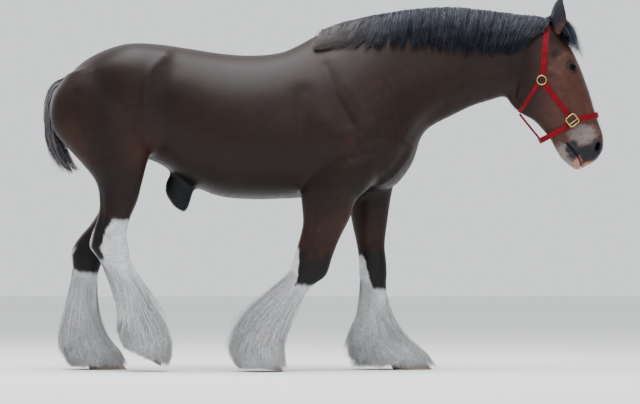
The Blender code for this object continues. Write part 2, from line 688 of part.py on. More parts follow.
def on_rows(rows, level, angle):
    """A point of the skin over the rows at a level from 0 to 1, or the skin's middle where there is no angle."""
    place = level * (len(rows) - 1)
    first = min(int(place), len(rows) - 2)
    row = rows[first] + (rows[first + 1] - rows[first]) * (place - first)
    if angle is None:
        return np.array([(row[0] + row[2]) / 2, row[5], (row[1] + row[3]) / 2])
    up, out = math.cos(angle), math.sin(angle)
    high = np.array([row[0], row[5], row[1]])
    low = np.array([row[2], row[5], row[3]])
    centre = low + (high - low) * row[6]
    power = 2 / (row[7] if up >= 0 else row[8])
    reach = high - centre if up >= 0 else centre - low
    point = centre + math.copysign(abs(up) ** power, up) * reach
    point[1] += math.copysign(abs(out) ** power, out) * row[4]
    return point


# A lock is a flat blade along a path, wide in the middle and pointed at the tip
LOCK_WIDTHS = (0.42, 1.0, 0.90, 0.55)


def lock(points, outs, width, thick, shade):
    """Four sides: two edges, a ridge outside and one inside. The first point is the root."""
    points = [np.array(p, float) for p in points]
    count = len(points)
    rings = []
    for i in range(count - 1):
        ahead = points[i + 1] - points[max(0, i - 1)]
        across = np.cross(ahead, outs[i])
        across = across / max(1e-9, np.linalg.norm(across))
        ridge = np.cross(across, ahead)
        ridge = ridge / max(1e-9, np.linalg.norm(ridge))
        share = LOCK_WIDTHS[min(i, len(LOCK_WIDTHS) - 1)]
        half, rise = 0.5 * width * share, 0.5 * thick * (0.5 + 0.5 * share)
        rings.append([points[i] + across * half, points[i] + ridge * rise,
                      points[i] - across * half, points[i] - ridge * rise])
    bm = bmesh.new()
    loops = [[bm.verts.new(p) for p in corners] for corners in rings]
    tip = bm.verts.new(points[-1])
    for one, other in zip(loops, loops[1:]):
        for k in range(4):
            j = (k + 1) % 4
            bm.faces.new((one[k], one[j], other[j], other[k]))
    for k in range(4):
        bm.faces.new((loops[-1][k], loops[-1][(k + 1) % 4], tip))
    bm.faces.new(loops[0])
    bmesh.ops.triangulate(bm, faces=bm.faces)
    bmesh.ops.recalc_face_normals(bm, faces=bm.faces)
    mesh = bpy.data.meshes.new("lock")
    bm.to_mesh(mesh)
    bm.free()
    return add_object("lock", mesh, shade)


def make_mane(neck, shades):
    """Locks rooted along the crest that fall over the right side, slanting back near the withers."""
    rows = refined(TRUNK, 4)
    tree = guide_tree([(rows, TRUNK_SIDES), (refined(HEAD, 2), HEAD_SIDES)])
    order = np.argsort(rows[:, 0])
    rng = random.Random(7)
    locks = []
    for i in range(MANE_LOCKS):
        along = (i + 0.5) / MANE_LOCKS
        x = MANE_START + (MANE_END - MANE_START) * along + rng.uniform(-0.006, 0.006)
        crest = float(np.interp(x, rows[order, 0], rows[order, 1]))
        slant = float(np.interp(x, *MANE_SLANT)) + rng.uniform(-0.012, 0.012)
        edge = float(np.interp(x - slant, *MANE_EDGE))
        fall = (crest - edge) * (1 - rng.uniform(0, 1) * MANE_FALL_SPREAD)
        lift = MANE_LAYERS[i % 2]
        points = [np.array((x, 0.012, crest - 0.018)), np.array((x, -0.014, crest + lift))]
        outs = [np.array((0, 0.2, 1.0)), np.array((0, -0.4, 0.9))]
        for f, share in MANE_PATH:
            spot = x - slant * f, crest - fall * f
            place, normal = surface_point(tree, *spot, RIGHT)
            points.append(np.array(place) + np.array(normal) * lift * share)
            outs.append(np.array(normal))
        width = MANE_LOCK[0] * rng.uniform(0.85, 1.15)
        locks.append(lock(points, outs, width, MANE_LOCK[1], shades["points"]))
    combine(neck, locks, "UNION")


def make_forelock(head, shades):
    """Locks from between the ears down the forehead, most of them to the right."""
    tree = tree_of(head)
    rng = random.Random(11)
    locks = []
    for i in range(FORELOCK_LOCKS):
        side = (i + 0.5) / FORELOCK_LOCKS - 0.5
        points, outs = [], []
        start = Vector((FORELOCK_ROOT[0], side * FORELOCK_ROOT[1], FORELOCK_ROOT[2]))
        end = Vector((FORELOCK_TIP[0], side * FORELOCK_TIP[1] - 0.020, FORELOCK_TIP[2]))
        end.z += rng.uniform(-0.025, 0.012)
        for f, lift in FORELOCK_PATH:
            spot = start.lerp(end, f)
            place, normal, _, _ = tree.find_nearest(spot)
            points.append(np.array(place) + np.array(normal) * lift)
            outs.append(np.array(normal))
        locks.append(lock(points, outs, FORELOCK_LOCK[0], FORELOCK_LOCK[1], shades["points"]))
    combine(head, locks, "UNION")


# The halter

def web(name, rails, shade):
    """A flat web over its rails: for each step along it, the points under its width and the way out."""
    rings = []
    for lows, out in rails:
        highs = [low + out * WEB_THICKNESS for low in lows]
        rings.append(list(lows) + highs[::-1])
    return add_object(name, mesh_from_rings(name, rings), shade)


def strap(name, tree, side, start, end, width, shade, steps=6):
    """A web laid straight across one side of the head."""
    one, other = surface_point(tree, *start, side)[0], surface_point(tree, *end, side)[0]
    rails = []
    for k in range(steps + 1):
        spot = one.lerp(other, k / steps)
        _, normal, _, _ = tree.find_nearest(spot)
        across = (other - one).cross(normal).normalized()
        lows = []
        for shift in (-0.5, 0.0, 0.5):
            place = spot + across * width * shift
            hit, _, _, _ = tree.ray_cast(place + normal * 0.12, -normal)
            lows.append(hit + normal * WEB_CLEARANCE)
        rails.append((lows, normal))
    return web(name, rails, shade)


def girth(name, tree, centre, forward, reach, width, shade, steps=20):
    """A web round the head in one plane: from reach degrees on its right, over the forward side, to its left."""
    forward = Vector(forward).normalized()
    centre = Vector(centre)
    across = forward.cross(Vector((0, 1, 0)))
    rails = []
    for k in range(steps + 1):
        turn = math.radians(reach) * (2 * k / steps - 1)
        out = forward * math.cos(turn) + Vector((0, 1, 0)) * math.sin(turn)
        lows = []
        for shift in (-0.5, 0.0, 0.5):
            start = centre + across * width * shift
            hit, _, _, _ = tree.ray_cast(start + out * 0.4, -out)
            lows.append(hit + out * WEB_CLEARANCE)
        rails.append((lows, out))
    return web(name, rails, shade)


def chin_strap(shade):
    """A loose web that hangs from the two squares and rounds behind the jaw."""
    back, front = Vector((CHIN_BACK[0], 0, CHIN_BACK[1])), Vector((CHIN_FRONT[0], 0, CHIN_FRONT[1]))
    forward = (front - back).normalized()
    across = forward.cross(Vector((0, 1, 0)))
    length = (front - back).length
    steps = 16
    rails = []
    for k in range(steps + 1):
        turn = math.pi * (k / steps - 0.5)
        along = length * (1 - abs(math.cos(turn)) ** 0.75)
        lateral = CHIN_HALF_WIDTH * math.copysign(abs(math.sin(turn)) ** 0.6, math.sin(turn))
        out = Vector((0, 1, 0)) * math.sin(turn) - forward * math.cos(turn)
        middle = back + forward * along + Vector((0, lateral, 0))
        rails.append(([middle + across * CHIN_WEB * shift for shift in (-0.5, 0.0, 0.5)], out))
    return web("halter_chin", rails, shade)


def wire_ring(name, centre, normal, radius, wire, shade, corners=16):
    """A round wire bent into a ring, or into a square with 4 corners."""
    normal = normal.normalized()
    one = normal.orthogonal().normalized()
    two = normal.cross(one)
    rings = []
    for i in range(corners):
        turn = 2 * math.pi * (i + 0.3) / corners
        out = one * math.cos(turn) + two * math.sin(turn)
        spot = centre + out * radius
        scale = 1.0 if corners > 4 else math.sqrt(2)
        section_points = []
        for k in range(WIRE_SIDES):
            a = 2 * math.pi * k / WIRE_SIDES
            section_points.append(spot + out * wire * scale * math.cos(a) + normal * wire * math.sin(a))
        rings.append(section_points)
    bm = bmesh.new()
    loops = [[bm.verts.new(p) for p in points] for points in rings]
    for one_loop, other in zip(loops, loops[1:] + loops[:1]):
        for k in range(WIRE_SIDES):
            j = (k + 1) % WIRE_SIDES
            bm.faces.new((one_loop[k], one_loop[j], other[j], other[k]))
    bmesh.ops.recalc_face_normals(bm, faces=bm.faces)
    mesh = bpy.data.meshes.new(name)
    bm.to_mesh(mesh)
    bm.free()
    return add_object(name, mesh, shade)


def make_halter(head, shades):
    tree = tree_of(head)
    red, brass = shades["web"], shades["brass"]
    rings = []
    for side in (RIGHT, LEFT):
        end = "_right" if side == RIGHT else "_left"
        place, normal = surface_point(tree, *RING_PLACE, side)
        place = place + normal * (RING_WIRE + RING_LIFT)
        rings.append(wire_ring("halter_ring" + end, place, normal, RING_RADIUS, RING_WIRE, brass))
        place, normal = surface_point(tree, *SQUARE_PLACE, side)
        place = place + normal * (RING_WIRE + RING_LIFT)
        rings.append(wire_ring("halter_square" + end, place, normal, SQUARE_RADIUS, RING_WIRE, brass, 4))
        cheek = strap("halter_cheek" + end, tree, side, (1.204, 1.568), (1.343, 1.395), 0.032, red)
        clear_of(cheek, [head, *rings])
    crown = girth("halter_crown", tree, (1.196, 0, 1.615), (0.10, 0, 0.995), 90, 0.033, red)
    throat = girth("halter_throat", tree, (1.174, 0, 1.570), (-0.537, 0, -0.844), 86, 0.021, red)
    nose = girth("halter_nose", tree, (1.388, 0, 1.374), (0.97, 0, 0.24), 86, 0.030, red)
    chin = chin_strap(red)
    for web_part in (crown, throat, nose, chin):
        clear_of(web_part, [head, *rings])
    clear_of(throat, [bpy.data.objects["halter_cheek_right"], bpy.data.objects["halter_cheek_left"]])
    low, high = Vector((1.190, 0, 1.270)), Vector((1.078, 0, 1.408))
    cord = rod("halter_cord", low, high, CORD_RADIUS, red)
    clear_of(cord, [throat, chin, head])


def rod(name, start, end, radius, shade):
    along = (end - start).normalized()
    one = along.orthogonal().normalized()
    two = along.cross(one)
    rings = []
    for spot in (start, end):
        turns = [2 * math.pi * k / 8 for k in range(8)]
        rings.append([spot + (one * math.cos(a) + two * math.sin(a)) * radius for a in turns])
    return add_object(name, mesh_from_rings(name, rings), shade)


def make_tail(torso, shades):
    """A short dock with locks rooted in it all round that hang to the tail's tips."""
    whole = refined(TAIL, 6)
    dock = [one._replace(half_width=one.half_width * DOCK_SHARE) for one in TAIL[:5]]
    dock = dock[:4] + [dock[4]._replace(high=(-1.508, 1.400), low=(-1.462, 1.400), half_width=0.022)]
    tail = loft("tail", refined(dock, 1), 12, shades["tail"])
    core = refined(dock, 6)
    rng = random.Random(5)
    locks = []
    for i in range(TAIL_LOCKS):
        tier = i % 3
        turn = (i + rng.uniform(0, 0.6)) / TAIL_LOCKS
        angle = 2 * math.pi * (turn * 0.86 - 0.43)
        root = TAIL_ROOTS[tier]
        end = rng.uniform(0.92, 1.0) * TAIL_ENDS[tier]
        points, outs = [], []
        layer = 1.0 if i % 2 else 0.66
        for f, spread in TAIL_PATH:
            spread = spread * layer
            level = root * 0.5 + (end - root * 0.5) * f
            inside = on_rows(core, min(1.0, root + f * 0.4), angle)
            middle = on_rows(core, root, None)
            outside = on_rows(whole, level, angle)
            place = inside * (1 - spread) + outside * spread
            if f == 0.0:
                place = inside * 0.6 + middle * 0.4
            centre = on_rows(whole, level, None)
            out = place - (middle if f == 0.0 else centre)
            points.append(place)
            outs.append(out / max(1e-6, np.linalg.norm(out)))
        locks.append(lock(points, outs, TAIL_LOCK[0] * rng.uniform(0.8, 1.2), TAIL_LOCK[1], shades["tail"]))
    combine(tail, locks, "UNION")
    clear_of(tail, [torso])
    return tail


def main():
    for thing in list(bpy.data.objects):
        bpy.data.objects.remove(thing)
    home = bpy.data.collections.new("Clydesdale")
    bpy.context.scene.collection.children.link(home)
    shades = make_materials()
    torso = make_torso(shades)
    neck = make_neck(shades)
    head = make_head(shades)
    make_mane(neck, shades)
    clear_of(neck, [torso, head])
    make_legs(shades)
    make_tail(torso, shades)
    make_halter(head, shades)
    make_forelock(head, shades)
    for side in (RIGHT, LEFT):
        make_ear(side, head, shades)


main()
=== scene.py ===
# Clydesdale horse, life size: skin, coat, mane, feather, hooves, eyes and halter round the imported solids.
# X points the way the horse faces, Y to its left side, Z up, all in metres.
import math
import bpy
import bmesh
import numpy as np
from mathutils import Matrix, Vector
from mathutils.bvhtree import BVHTree


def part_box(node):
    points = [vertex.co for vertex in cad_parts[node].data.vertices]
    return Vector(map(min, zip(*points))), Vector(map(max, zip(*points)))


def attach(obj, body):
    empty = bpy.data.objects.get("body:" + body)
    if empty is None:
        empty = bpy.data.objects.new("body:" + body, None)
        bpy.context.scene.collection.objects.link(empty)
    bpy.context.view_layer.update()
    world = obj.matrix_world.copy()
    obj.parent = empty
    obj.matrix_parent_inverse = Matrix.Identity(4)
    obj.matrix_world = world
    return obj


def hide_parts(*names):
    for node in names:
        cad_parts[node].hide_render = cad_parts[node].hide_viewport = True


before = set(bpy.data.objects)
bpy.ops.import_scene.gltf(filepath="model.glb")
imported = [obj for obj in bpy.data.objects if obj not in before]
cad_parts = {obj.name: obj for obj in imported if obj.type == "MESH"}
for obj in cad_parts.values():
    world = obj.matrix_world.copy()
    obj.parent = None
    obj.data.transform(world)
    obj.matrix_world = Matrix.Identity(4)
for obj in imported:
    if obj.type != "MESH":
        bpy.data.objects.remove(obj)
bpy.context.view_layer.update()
print("frame loaded")


# Small helpers

def hexColour(text):
    # sRGB hex to linear: c / 12.92 under 0.04045, else ((c + 0.055) / 1.055) ^ 2.4
    c = np.array([int(text[i:i + 2], 16) for i in (1, 3, 5)]) / 255
    return np.where(c <= 0.04045, c / 12.92, ((c + 0.055) / 1.055) ** 2.4)


def unit(v):
    return v / np.maximum(1e-9, np.linalg.norm(v, axis=-1, keepdims=True))


def step(low, high, x):
    # smooth step: t * t * (3 - 2 t), with t the share of the way from low to high
    t = np.clip((x - low) / (high - low), 0, 1)
    return t * t * (3 - 2 * t)


def mix(a, b, share):
    return a + (b - a) * share[..., None]


def hump(x, middle, width):
    # a smooth hump: exp(-((x - middle) / width) ^ 2)
    return np.exp(-((x - middle) / width) ** 2)


def power(v, exponent):
    # sign(v) |v| ^ exponent, which makes a circle of a cosine and a sine squarer or more pointed
    return np.sign(v) * np.abs(v) ** exponent


def circle(count):
    return np.arange(count) * 2 * math.pi / count


def wobble(points, size, seed, terms=9):
    # sum of sines along random ways, each about one wave per size: a soft noise near -1 to 1
    draw = np.random.default_rng(seed)
    ways = unit(draw.normal(size=(terms, 3))) * (2 * math.pi / size) * draw.uniform(0.6, 1.5, (terms, 1))
    return np.sin(points @ ways.T + draw.uniform(0, 2 * math.pi, terms)).sum(-1) / math.sqrt(terms)


def paintMesh(mesh, colours):
    # A colour for each point, which the materials read
    layer = mesh.color_attributes.new(name="coat", type="FLOAT_COLOR", domain="POINT")
    filled = np.hstack([colours, np.ones((len(colours), 1))])
    layer.data.foreach_set("color", filled.astype(np.float32).ravel())


def buildMesh(name, points, faces, colours=None, uv=None, uvName="weave", smooth=True):
    # faces is a list of index arrays, each (count, corners); uv is a list of arrays that match them
    mesh = bpy.data.meshes.new(name)
    corners = np.concatenate([f.reshape(-1) for f in faces])
    sizes = np.concatenate([np.full(len(f), f.shape[1]) for f in faces])
    mesh.vertices.add(len(points))
    mesh.vertices.foreach_set("co", points.astype(np.float32).ravel())
    mesh.loops.add(len(corners))
    mesh.loops.foreach_set("vertex_index", corners.astype(np.int32))
    mesh.polygons.add(len(sizes))
    mesh.polygons.foreach_set("loop_start", (np.cumsum(sizes) - sizes).astype(np.int32))
    mesh.update(calc_edges=True)
    mesh.polygons.foreach_set("use_smooth", np.full(len(sizes), smooth))
    if colours is not None:
        paintMesh(mesh, colours)
    if uv is not None:
        layer = mesh.uv_layers.new(name=uvName)
        layer.data.foreach_set("uv", np.concatenate([u.reshape(-1, 2) for u in uv]).astype(np.float32).ravel())
    return mesh


def linked(name, data):
    thing = bpy.data.objects.new(name, data)
    bpy.context.scene.collection.objects.link(thing)
    return thing


def addPiece(name, mesh, material, replaces=()):
    thing = linked(name, mesh)
    mesh.materials.clear()
    mesh.materials.append(material)
    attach(thing, "root")
    if replaces:
        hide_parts(*replaces)
    return thing


def tubeFaces(rings, sides, closed=False):
    # Quads between ring i and the next, going round; index = ring * sides + corner
    i, j = np.meshgrid(np.arange(rings if closed else rings - 1), np.arange(sides), indexing="ij")
    k, m = (i + 1) % rings, (j + 1) % sides
    return np.stack([i * sides + j, k * sides + j, k * sides + m, i * sides + m], -1).reshape(-1, 4)


def tubePiece(name, grid, material, replaces=(), colours=None, uv=None, closed=False):
    # A tube through rings of corners, with a face at each end unless its rings run in a circle
    rings, sides = grid.shape[:2]
    first = np.arange(sides)[None]
    ends = [] if closed else [first[:, ::-1], first + (rings - 1) * sides]
    mesh = buildMesh(name, grid.reshape(-1, 3), [tubeFaces(rings, sides, closed), *ends], colours, uv)
    bm = bmesh.new()
    bm.from_mesh(mesh)
    bmesh.ops.recalc_face_normals(bm, faces=bm.faces)
    bm.to_mesh(mesh)
    bm.free()
    return addPiece(name, mesh, material, replaces)


# Body profile. A section lies in the plane through its high and its low end and the Y axis.
# A row in thousandths: high x, high z, low x, low z, half width, then side, the height of the widest line
# as a share, and the powers of the high and the low half; what a row leaves out is the plain section's

def table(*rows):
    plain = (0, 0, 0, 0, 0, 0, 500, 2000, 2000)
    return np.array([row + plain[len(row):] for row in rows]) / 1000


trunkSections = table(
    (-1420, 1600, -1412, 1450, 60), (-1382, 1646, -1372, 1360, 160, 0, 550),
    (-1310, 1706, -1290, 1270, 245, 0, 600, 2300), (-1200, 1762, -1162, 1212, 300, 0, 620, 2500),
    (-1063, 1799, -1036, 1180, 325, 0, 620, 2500), (-915, 1796, -895, 1125, 312, 0, 580, 2400),
    (-761, 1776, -765, 1035, 310, 0, 520, 2200), (-569, 1747, -590, 956, 335, 0, 480),
    (-404, 1735, -404, 935, 350, 0, 460), (-239, 1750, -205, 939, 338, 0, 460, 2000, 2100),
    (-129, 1798, -30, 951, 318, 0, 460, 1800, 2200), (-63, 1836, 190, 975, 305, 0, 450, 1700, 2300),
    (-8, 1862, 376, 1000, 295, 0, 420, 1700, 2400), (63, 1893, 478, 1112, 268, 0, 400, 1700, 2300),
    (200, 1932, 516, 1200, 225, 0, 400, 1700, 2100), (385, 1968, 536, 1266, 184, 0, 420, 1800),
    (585, 1992, 585, 1330, 155, 0, 450, 1800), (739, 1994, 695, 1388, 134, 0, 470, 1900),
    (890, 1980, 820, 1448, 118, 0, 480), (1040, 1960, 920, 1480, 108),
    (1185, 1942, 997, 1503, 104, 0, 520),
)
headSections = table(
    (1185, 1942, 997, 1503, 104, 0, 520), (1278, 1893, 1017, 1474, 116, 0, 620, 2300, 1900),
    (1352, 1778, 1045, 1438, 126, 0, 700, 2600, 1800), (1398, 1696, 1094, 1401, 130, 0, 700, 2800, 1800),
    (1436, 1607, 1155, 1366, 114, 0, 620, 2700, 1800), (1468, 1525, 1204, 1316, 95, 0, 580, 2500, 1900),
    (1496, 1442, 1243, 1270, 81, 0, 560, 2400), (1518, 1371, 1271, 1217, 72, 0, 580, 2400),
    (1540, 1290, 1304, 1165, 73, 0, 620, 2400), (1540, 1224, 1348, 1126, 69, 0, 600, 2300),
    (1520, 1178, 1388, 1102, 57, 0, 560, 2200), (1488, 1142, 1424, 1112, 32),
)
# Each leg from inside the body to the coronet, and the number of its knee or hock section
legSections = {
    "foreRight": (7, table(
        (300, 1321, -10, 1230, 85, -165), (330, 1157, -80, 1080, 108, -180, 500, 2200),
        (270, 1015, -128, 985, 104, -180, 500, 2200), (182, 925, -126, 925, 90, -178),
        (146, 827, -117, 816, 73, -176), (91, 717, -134, 728, 58, -175),
        (52, 618, -164, 629, 59, -175, 500, 2400), (14, 514, -184, 556, 56, -176, 500, 2400),
        (-83, 446, -178, 512, 47, -177), (-164, 345, -246, 403, 43, -178),
        (-222, 236, -352, 275, 57, -180), (-262, 172, -386, 168, 54, -181),
        (-280, 118, -440, 128, 79, -182),
    )),
    "foreLeft": (7, table(
        (400, 1294, 80, 1212, 85, 165), (415, 1129, 40, 1074, 106, 180, 500, 2200),
        (392, 1008, 85, 975, 100, 180, 500, 2200), (376, 925, 130, 925, 88, 178),
        (360, 816, 155, 805, 70, 176), (346, 690, 181, 684, 56, 175),
        (354, 596, 192, 596, 59, 175, 500, 2400), (356, 508, 194, 508, 56, 175, 500, 2400),
        (345, 442, 212, 442, 46, 175), (336, 354, 216, 354, 43, 175), (362, 232, 212, 223, 57, 176),
        (430, 160, 290, 128, 55, 178), (500, 110, 330, 78, 80, 180),
    )),
    "hindRight": (10, table(
        (-1091, 1695, -1400, 1625, 100, -150), (-975, 1560, -1480, 1510, 136, -165, 500, 2200),
        (-936, 1387, -1495, 1404, 146, -172, 500, 2200), (-930, 1256, -1464, 1289, 136, -172, 500, 2200),
        (-950, 1140, -1332, 1140, 112, -172), (-978, 1025, -1245, 1030, 88, -172),
        (-1004, 926, -1223, 926, 71, -172), (-1047, 827, -1231, 838, 59, -172),
        (-1063, 739, -1262, 752, 55, -172), (-1052, 668, -1276, 676, 58, -172, 500, 2300),
        (-1042, 598, -1226, 607, 55, -172, 500, 2300), (-1012, 530, -1160, 500, 47, -172),
        (-1010, 452, -1106, 405, 43, -172), (-920, 308, -1042, 262, 57, -172),
        (-905, 222, -1022, 222, 55, -172), (-885, 140, -1052, 190, 78, -172),
    )),
    "hindLeft": (10, table(
        (-1091, 1695, -1400, 1625, 100, 150), (-975, 1560, -1480, 1510, 136, 165, 500, 2200),
        (-936, 1387, -1495, 1404, 146, 172, 500, 2200), (-935, 1256, -1464, 1289, 136, 172, 500, 2200),
        (-975, 1140, -1330, 1140, 112, 172), (-1020, 1000, -1250, 1045, 88, 172),
        (-1063, 862, -1236, 925, 71, 174), (-1129, 762, -1294, 815, 59, 175),
        (-1184, 680, -1360, 738, 55, 176), (-1217, 612, -1406, 658, 58, 176, 500, 2300),
        (-1239, 556, -1400, 580, 55, 176, 500, 2300), (-1262, 492, -1390, 506, 47, 177),
        (-1280, 404, -1374, 412, 43, 178), (-1260, 262, -1390, 246, 57, 179),
        (-1222, 180, -1340, 152, 55, 180), (-1172, 116, -1330, 88, 78, 181),
    )),
}
cadLegNames = {"foreRight": "fore_right", "foreLeft": "fore_left",
               "hindRight": "hind_right", "hindLeft": "hind_left"}
soleSections = dict(zip(legSections, table(
    (-216, 0, -424, 36, 98, -182, 450), (604, 0, 388, 0, 100, 180, 450),
    (-880, 30, -1056, 138, 94, -172, 450), (-1092, 0, -1300, 0, 95, 181, 450),
)))
# The outside of the feather, from under the knee or hock to the floor
hemSections = {
    "foreRight": table(
        (-125, 400, -330, 430, 72, -177), (-150, 290, -490, 300, 105, -180),
        (-190, 180, -545, 165, 130, -181), (-198, 90, -515, 70, 138, -182),
        (-196, 10, -455, 10, 130, -182),
    ),
    "foreLeft": table(
        (370, 380, 182, 360, 72, 175), (414, 277, 170, 270, 105, 176), (503, 168, 115, 150, 130, 178),
        (590, 85, 112, 70, 138, 180), (632, 12, 160, 10, 132, 180),
    ),
    "hindRight": table(
        (-930, 430, -1120, 390, 72, -172), (-850, 330, -1115, 290, 105, -172),
        (-825, 230, -1132, 230, 130, -172), (-806, 130, -1118, 190, 130, -172),
        (-840, 20, -1090, 120, 122, -172),
    ),
    "hindLeft": table(
        (-1250, 400, -1420, 390, 72, 178), (-1225, 260, -1470, 240, 105, 179),
        (-1170, 160, -1485, 150, 130, 180), (-1110, 85, -1460, 70, 138, 181),
        (-1085, 14, -1410, 10, 125, 181),
    ),
}
tailSections = table(
    (-1400, 1640, -1420, 1560, 35), (-1455, 1612, -1440, 1530, 45), (-1505, 1560, -1440, 1500, 60),
    (-1530, 1470, -1440, 1450, 78), (-1536, 1370, -1440, 1370, 84), (-1528, 1270, -1430, 1280, 80),
    (-1500, 1170, -1388, 1190, 68), (-1440, 1068, -1325, 1105, 48),
)
sheathSections = table(
    (-700, 1020, -760, 1110, 30, 0, 400), (-720, 940, -850, 1080, 48, 0, 400), (-745, 880, -880, 990, 50),
    (-768, 864, -830, 900, 30),
)


def curveThrough(keys, perSpan):
    # Catmull-Rom rows: half of 2b + (c-a)t + (2a-5b+4c-d)t^2 + (3b-a-3c+d)t^3 on each span
    keys = np.asarray(keys, float)
    pad = np.vstack([2 * keys[0] - keys[1], keys, 2 * keys[-1] - keys[-2]])
    t = (np.arange(perSpan) / perSpan)[None, :, None]
    a, b, c, d = (pad[i:len(keys) - 1 + i][:, None] for i in range(4))
    rows = 0.5 * (2 * b + (c - a) * t + (2 * a - 5 * b + 4 * c - d) * t**2 + (3 * b - a - 3 * c + d) * t**3)
    return np.vstack([rows.reshape(-1, keys.shape[1]), keys[-1:]])


def sectionPoint(row, turn):
    # A superellipse in two halves: cos(turn) ^ (2 / power) from the widest line to an end, sin across it
    high = np.stack([row[..., 0], row[..., 5], row[..., 1]], -1)
    low = np.stack([row[..., 2], row[..., 5], row[..., 3]], -1)
    centre = low + (high - low) * row[..., 6:7]
    up, out = np.cos(turn), np.sin(turn)
    shape = 2 / np.where(up >= -1e-9, row[..., 7], row[..., 8])
    along = power(up, shape)
    point = centre + along[..., None] * np.where(along[..., None] >= 0, high - centre, centre - low)
    point[..., 1] += power(out, shape) * row[..., 4]
    return point


def rowAt(rows, level):
    # The row at a level from 0 to 1, straight between its neighbours
    place = np.clip(level, 0, 1) * (len(rows) - 1)
    first = np.clip(place.astype(int), 0, len(rows) - 2)
    part = (place - first)[..., None]
    return rows[first] * (1 - part) + rows[first + 1] * part


def onRows(rows, level, turn):
    return sectionPoint(rowAt(rows, level), turn)


featherCore = {
    "share": 0.55,          # how far the core lies from the bone to the outside of the hair
    "rise": 0.30,           # level where it is that far out, from 0 at the knee
    "fade": (0.72, 0.95),   # levels between which it draws in again to the hoof
    "last": 0.86,           # where the skin over it ends
    "boneReach": 1.12,      # how much faster the bone's level runs than the hair's
}


def featherRows(name):
    # The bone under a leg's feather and the feather's outside, both from the knee or hock down
    knee, sections = legSections[name]
    bone = curveThrough(sections[knee:], 8)
    return bone, np.vstack([bone[:1], curveThrough(hemSections[name], 8)])


def onCore(bone, hem, level, turn):
    # Where the hair of the feather grows from: a share of the way from the bone to the outside
    s = featherCore
    inside, outside = onRows(bone, np.minimum(1.0, level * s["boneReach"]), turn), onRows(hem, level, turn)
    share = s["share"] * step(0.0, s["rise"], level) * (1 - 0.9 * step(*s["fade"], level))
    return inside + (outside - inside) * share[..., None], outside


def middleOf(rows, level):
    row = rowAt(rows, level)
    return np.stack([(row[..., 0] + row[..., 2]) / 2, row[..., 5], (row[..., 1] + row[..., 3]) / 2], -1)


# Skin

skinSettings = {
    "voxel": 0.0100,        # edge length of the body's skin; the head's is about half of it
    "headZoom": 2.0,
    "zoomCentre": (1.34, 0.0, 1.47),
    "zoomReach": 0.50,
    "depth": 0.0045,        # how far the skin lies inside the solids
    "bodyRounds": 26,
    "legRounds": 5,
    "headRounds": 2,
    "triangles": 192000,    # what the skin is thinned to, outside the head and the edges of the markings
}


def formList(*rows):
    # From rows in thousandths: radius, height, then x and z of each point of a path in the side view
    return [(np.array(row[2:]).reshape(-1, 2) / 1000, row[0] / 1000, row[1] / 1000) for row in rows]


# Muscles and hollows on both flanks, then the bones and folds of the head
forms = formList(
    (40, 14, -857, 1722), (24, 5.5, -857, 1722, -915, 1655, -950, 1585, -966, 1500, -966, 1420),
    (34, 8, -966, 1420, -955, 1325, -935, 1235), (58, -9, -815, 1630, -865, 1530, -880, 1400, -860, 1280),
    (60, 10, -985, 1215), (110, 10, -1120, 1520, -1150, 1360, -1130, 1240),
    (22, -7, -1330, 1500, -1365, 1360, -1300, 1200), (45, 8, -1160, 1100, -1135, 950, -1130, 860),
    (14, -7, -1205, 960, -1200, 840, -1215, 760), (60, 10, 80, 1700, 160, 1520, 260, 1360),
    (24, -6, 10, 1660, 70, 1480, 150, 1340), (75, 16, 20, 1330, 100, 1260, 140, 1200),
    (50, -10, -110, 1500, -120, 1300, -130, 1160), (28, -14, 170, 1165, 240, 1185, 310, 1215),
    (60, 8, 200, 1310, 310, 1280, 400, 1250),
    (16, 10, 486, 1217, 448, 1140, 387, 1069, 310, 1014, 200, 953),
    (22, -9, 440, 1190, 400, 1120, 340, 1060, 250, 1000),
    (15, 8, 610, 1349, 556, 1285, 502, 1179, 455, 1092), (26, -9, 660, 1450, 560, 1370, 480, 1270),
    (50, 7, 980, 1600, 800, 1560, 600, 1470, 450, 1380), (45, 8, 50, 1010, 45, 900, 30, 800),
    (15, -6, -55, 980, -50, 860, -60, 760), (45, 8, 270, 990, 265, 880, 255, 780),
)
headForms = formList(
    (12, 5, 1330, 1560, 1375, 1480, 1395, 1430),  # facial crest
    (12, -4, 1300, 1540, 1345, 1455, 1365, 1400),
    (12, 3, 1420, 1560, 1452, 1470, 1470, 1380),  # beside the nose bone
    (13, -4.5, 1398, 1560, 1430, 1470, 1445, 1390),
    (26, -8, 1275, 1725),  # hollow over the eye
    (16, 6, 1330, 1722, 1375, 1705),  # brow
    (14, 6, 1235, 1640, 1290, 1615, 1330, 1585),  # cheek bone to the eye
    (50, 7, 1105, 1560, 1120, 1470, 1180, 1420),  # jaw muscle
    (14, -6, 1060, 1585, 1045, 1500, 1080, 1430),
    (14, -4, 1245, 1400, 1205, 1440, 1185, 1500),
    (18, 5, 1400, 1330, 1425, 1290, 1440, 1250),  # muzzle pad
    (12, -4, 1370, 1350, 1395, 1300),
    (24, 5, 1340, 1180, 1365, 1150),  # chin
)


def pathDistance(points, path):
    # Distance in the side view from each point to the nearest stretch of a path
    flat, best = points[:, [0, 2]], np.full(len(points), 9.0)
    path = np.array(path, float)
    if len(path) == 1:
        return np.linalg.norm(flat - path[0], axis=1)
    for a, b in zip(path, path[1:]):
        t = np.clip(((flat - a) @ (b - a)) / ((b - a) @ (b - a)), 0, 1)
        best = np.minimum(best, np.linalg.norm(flat - a - t[:, None] * (b - a), axis=1))
    return best


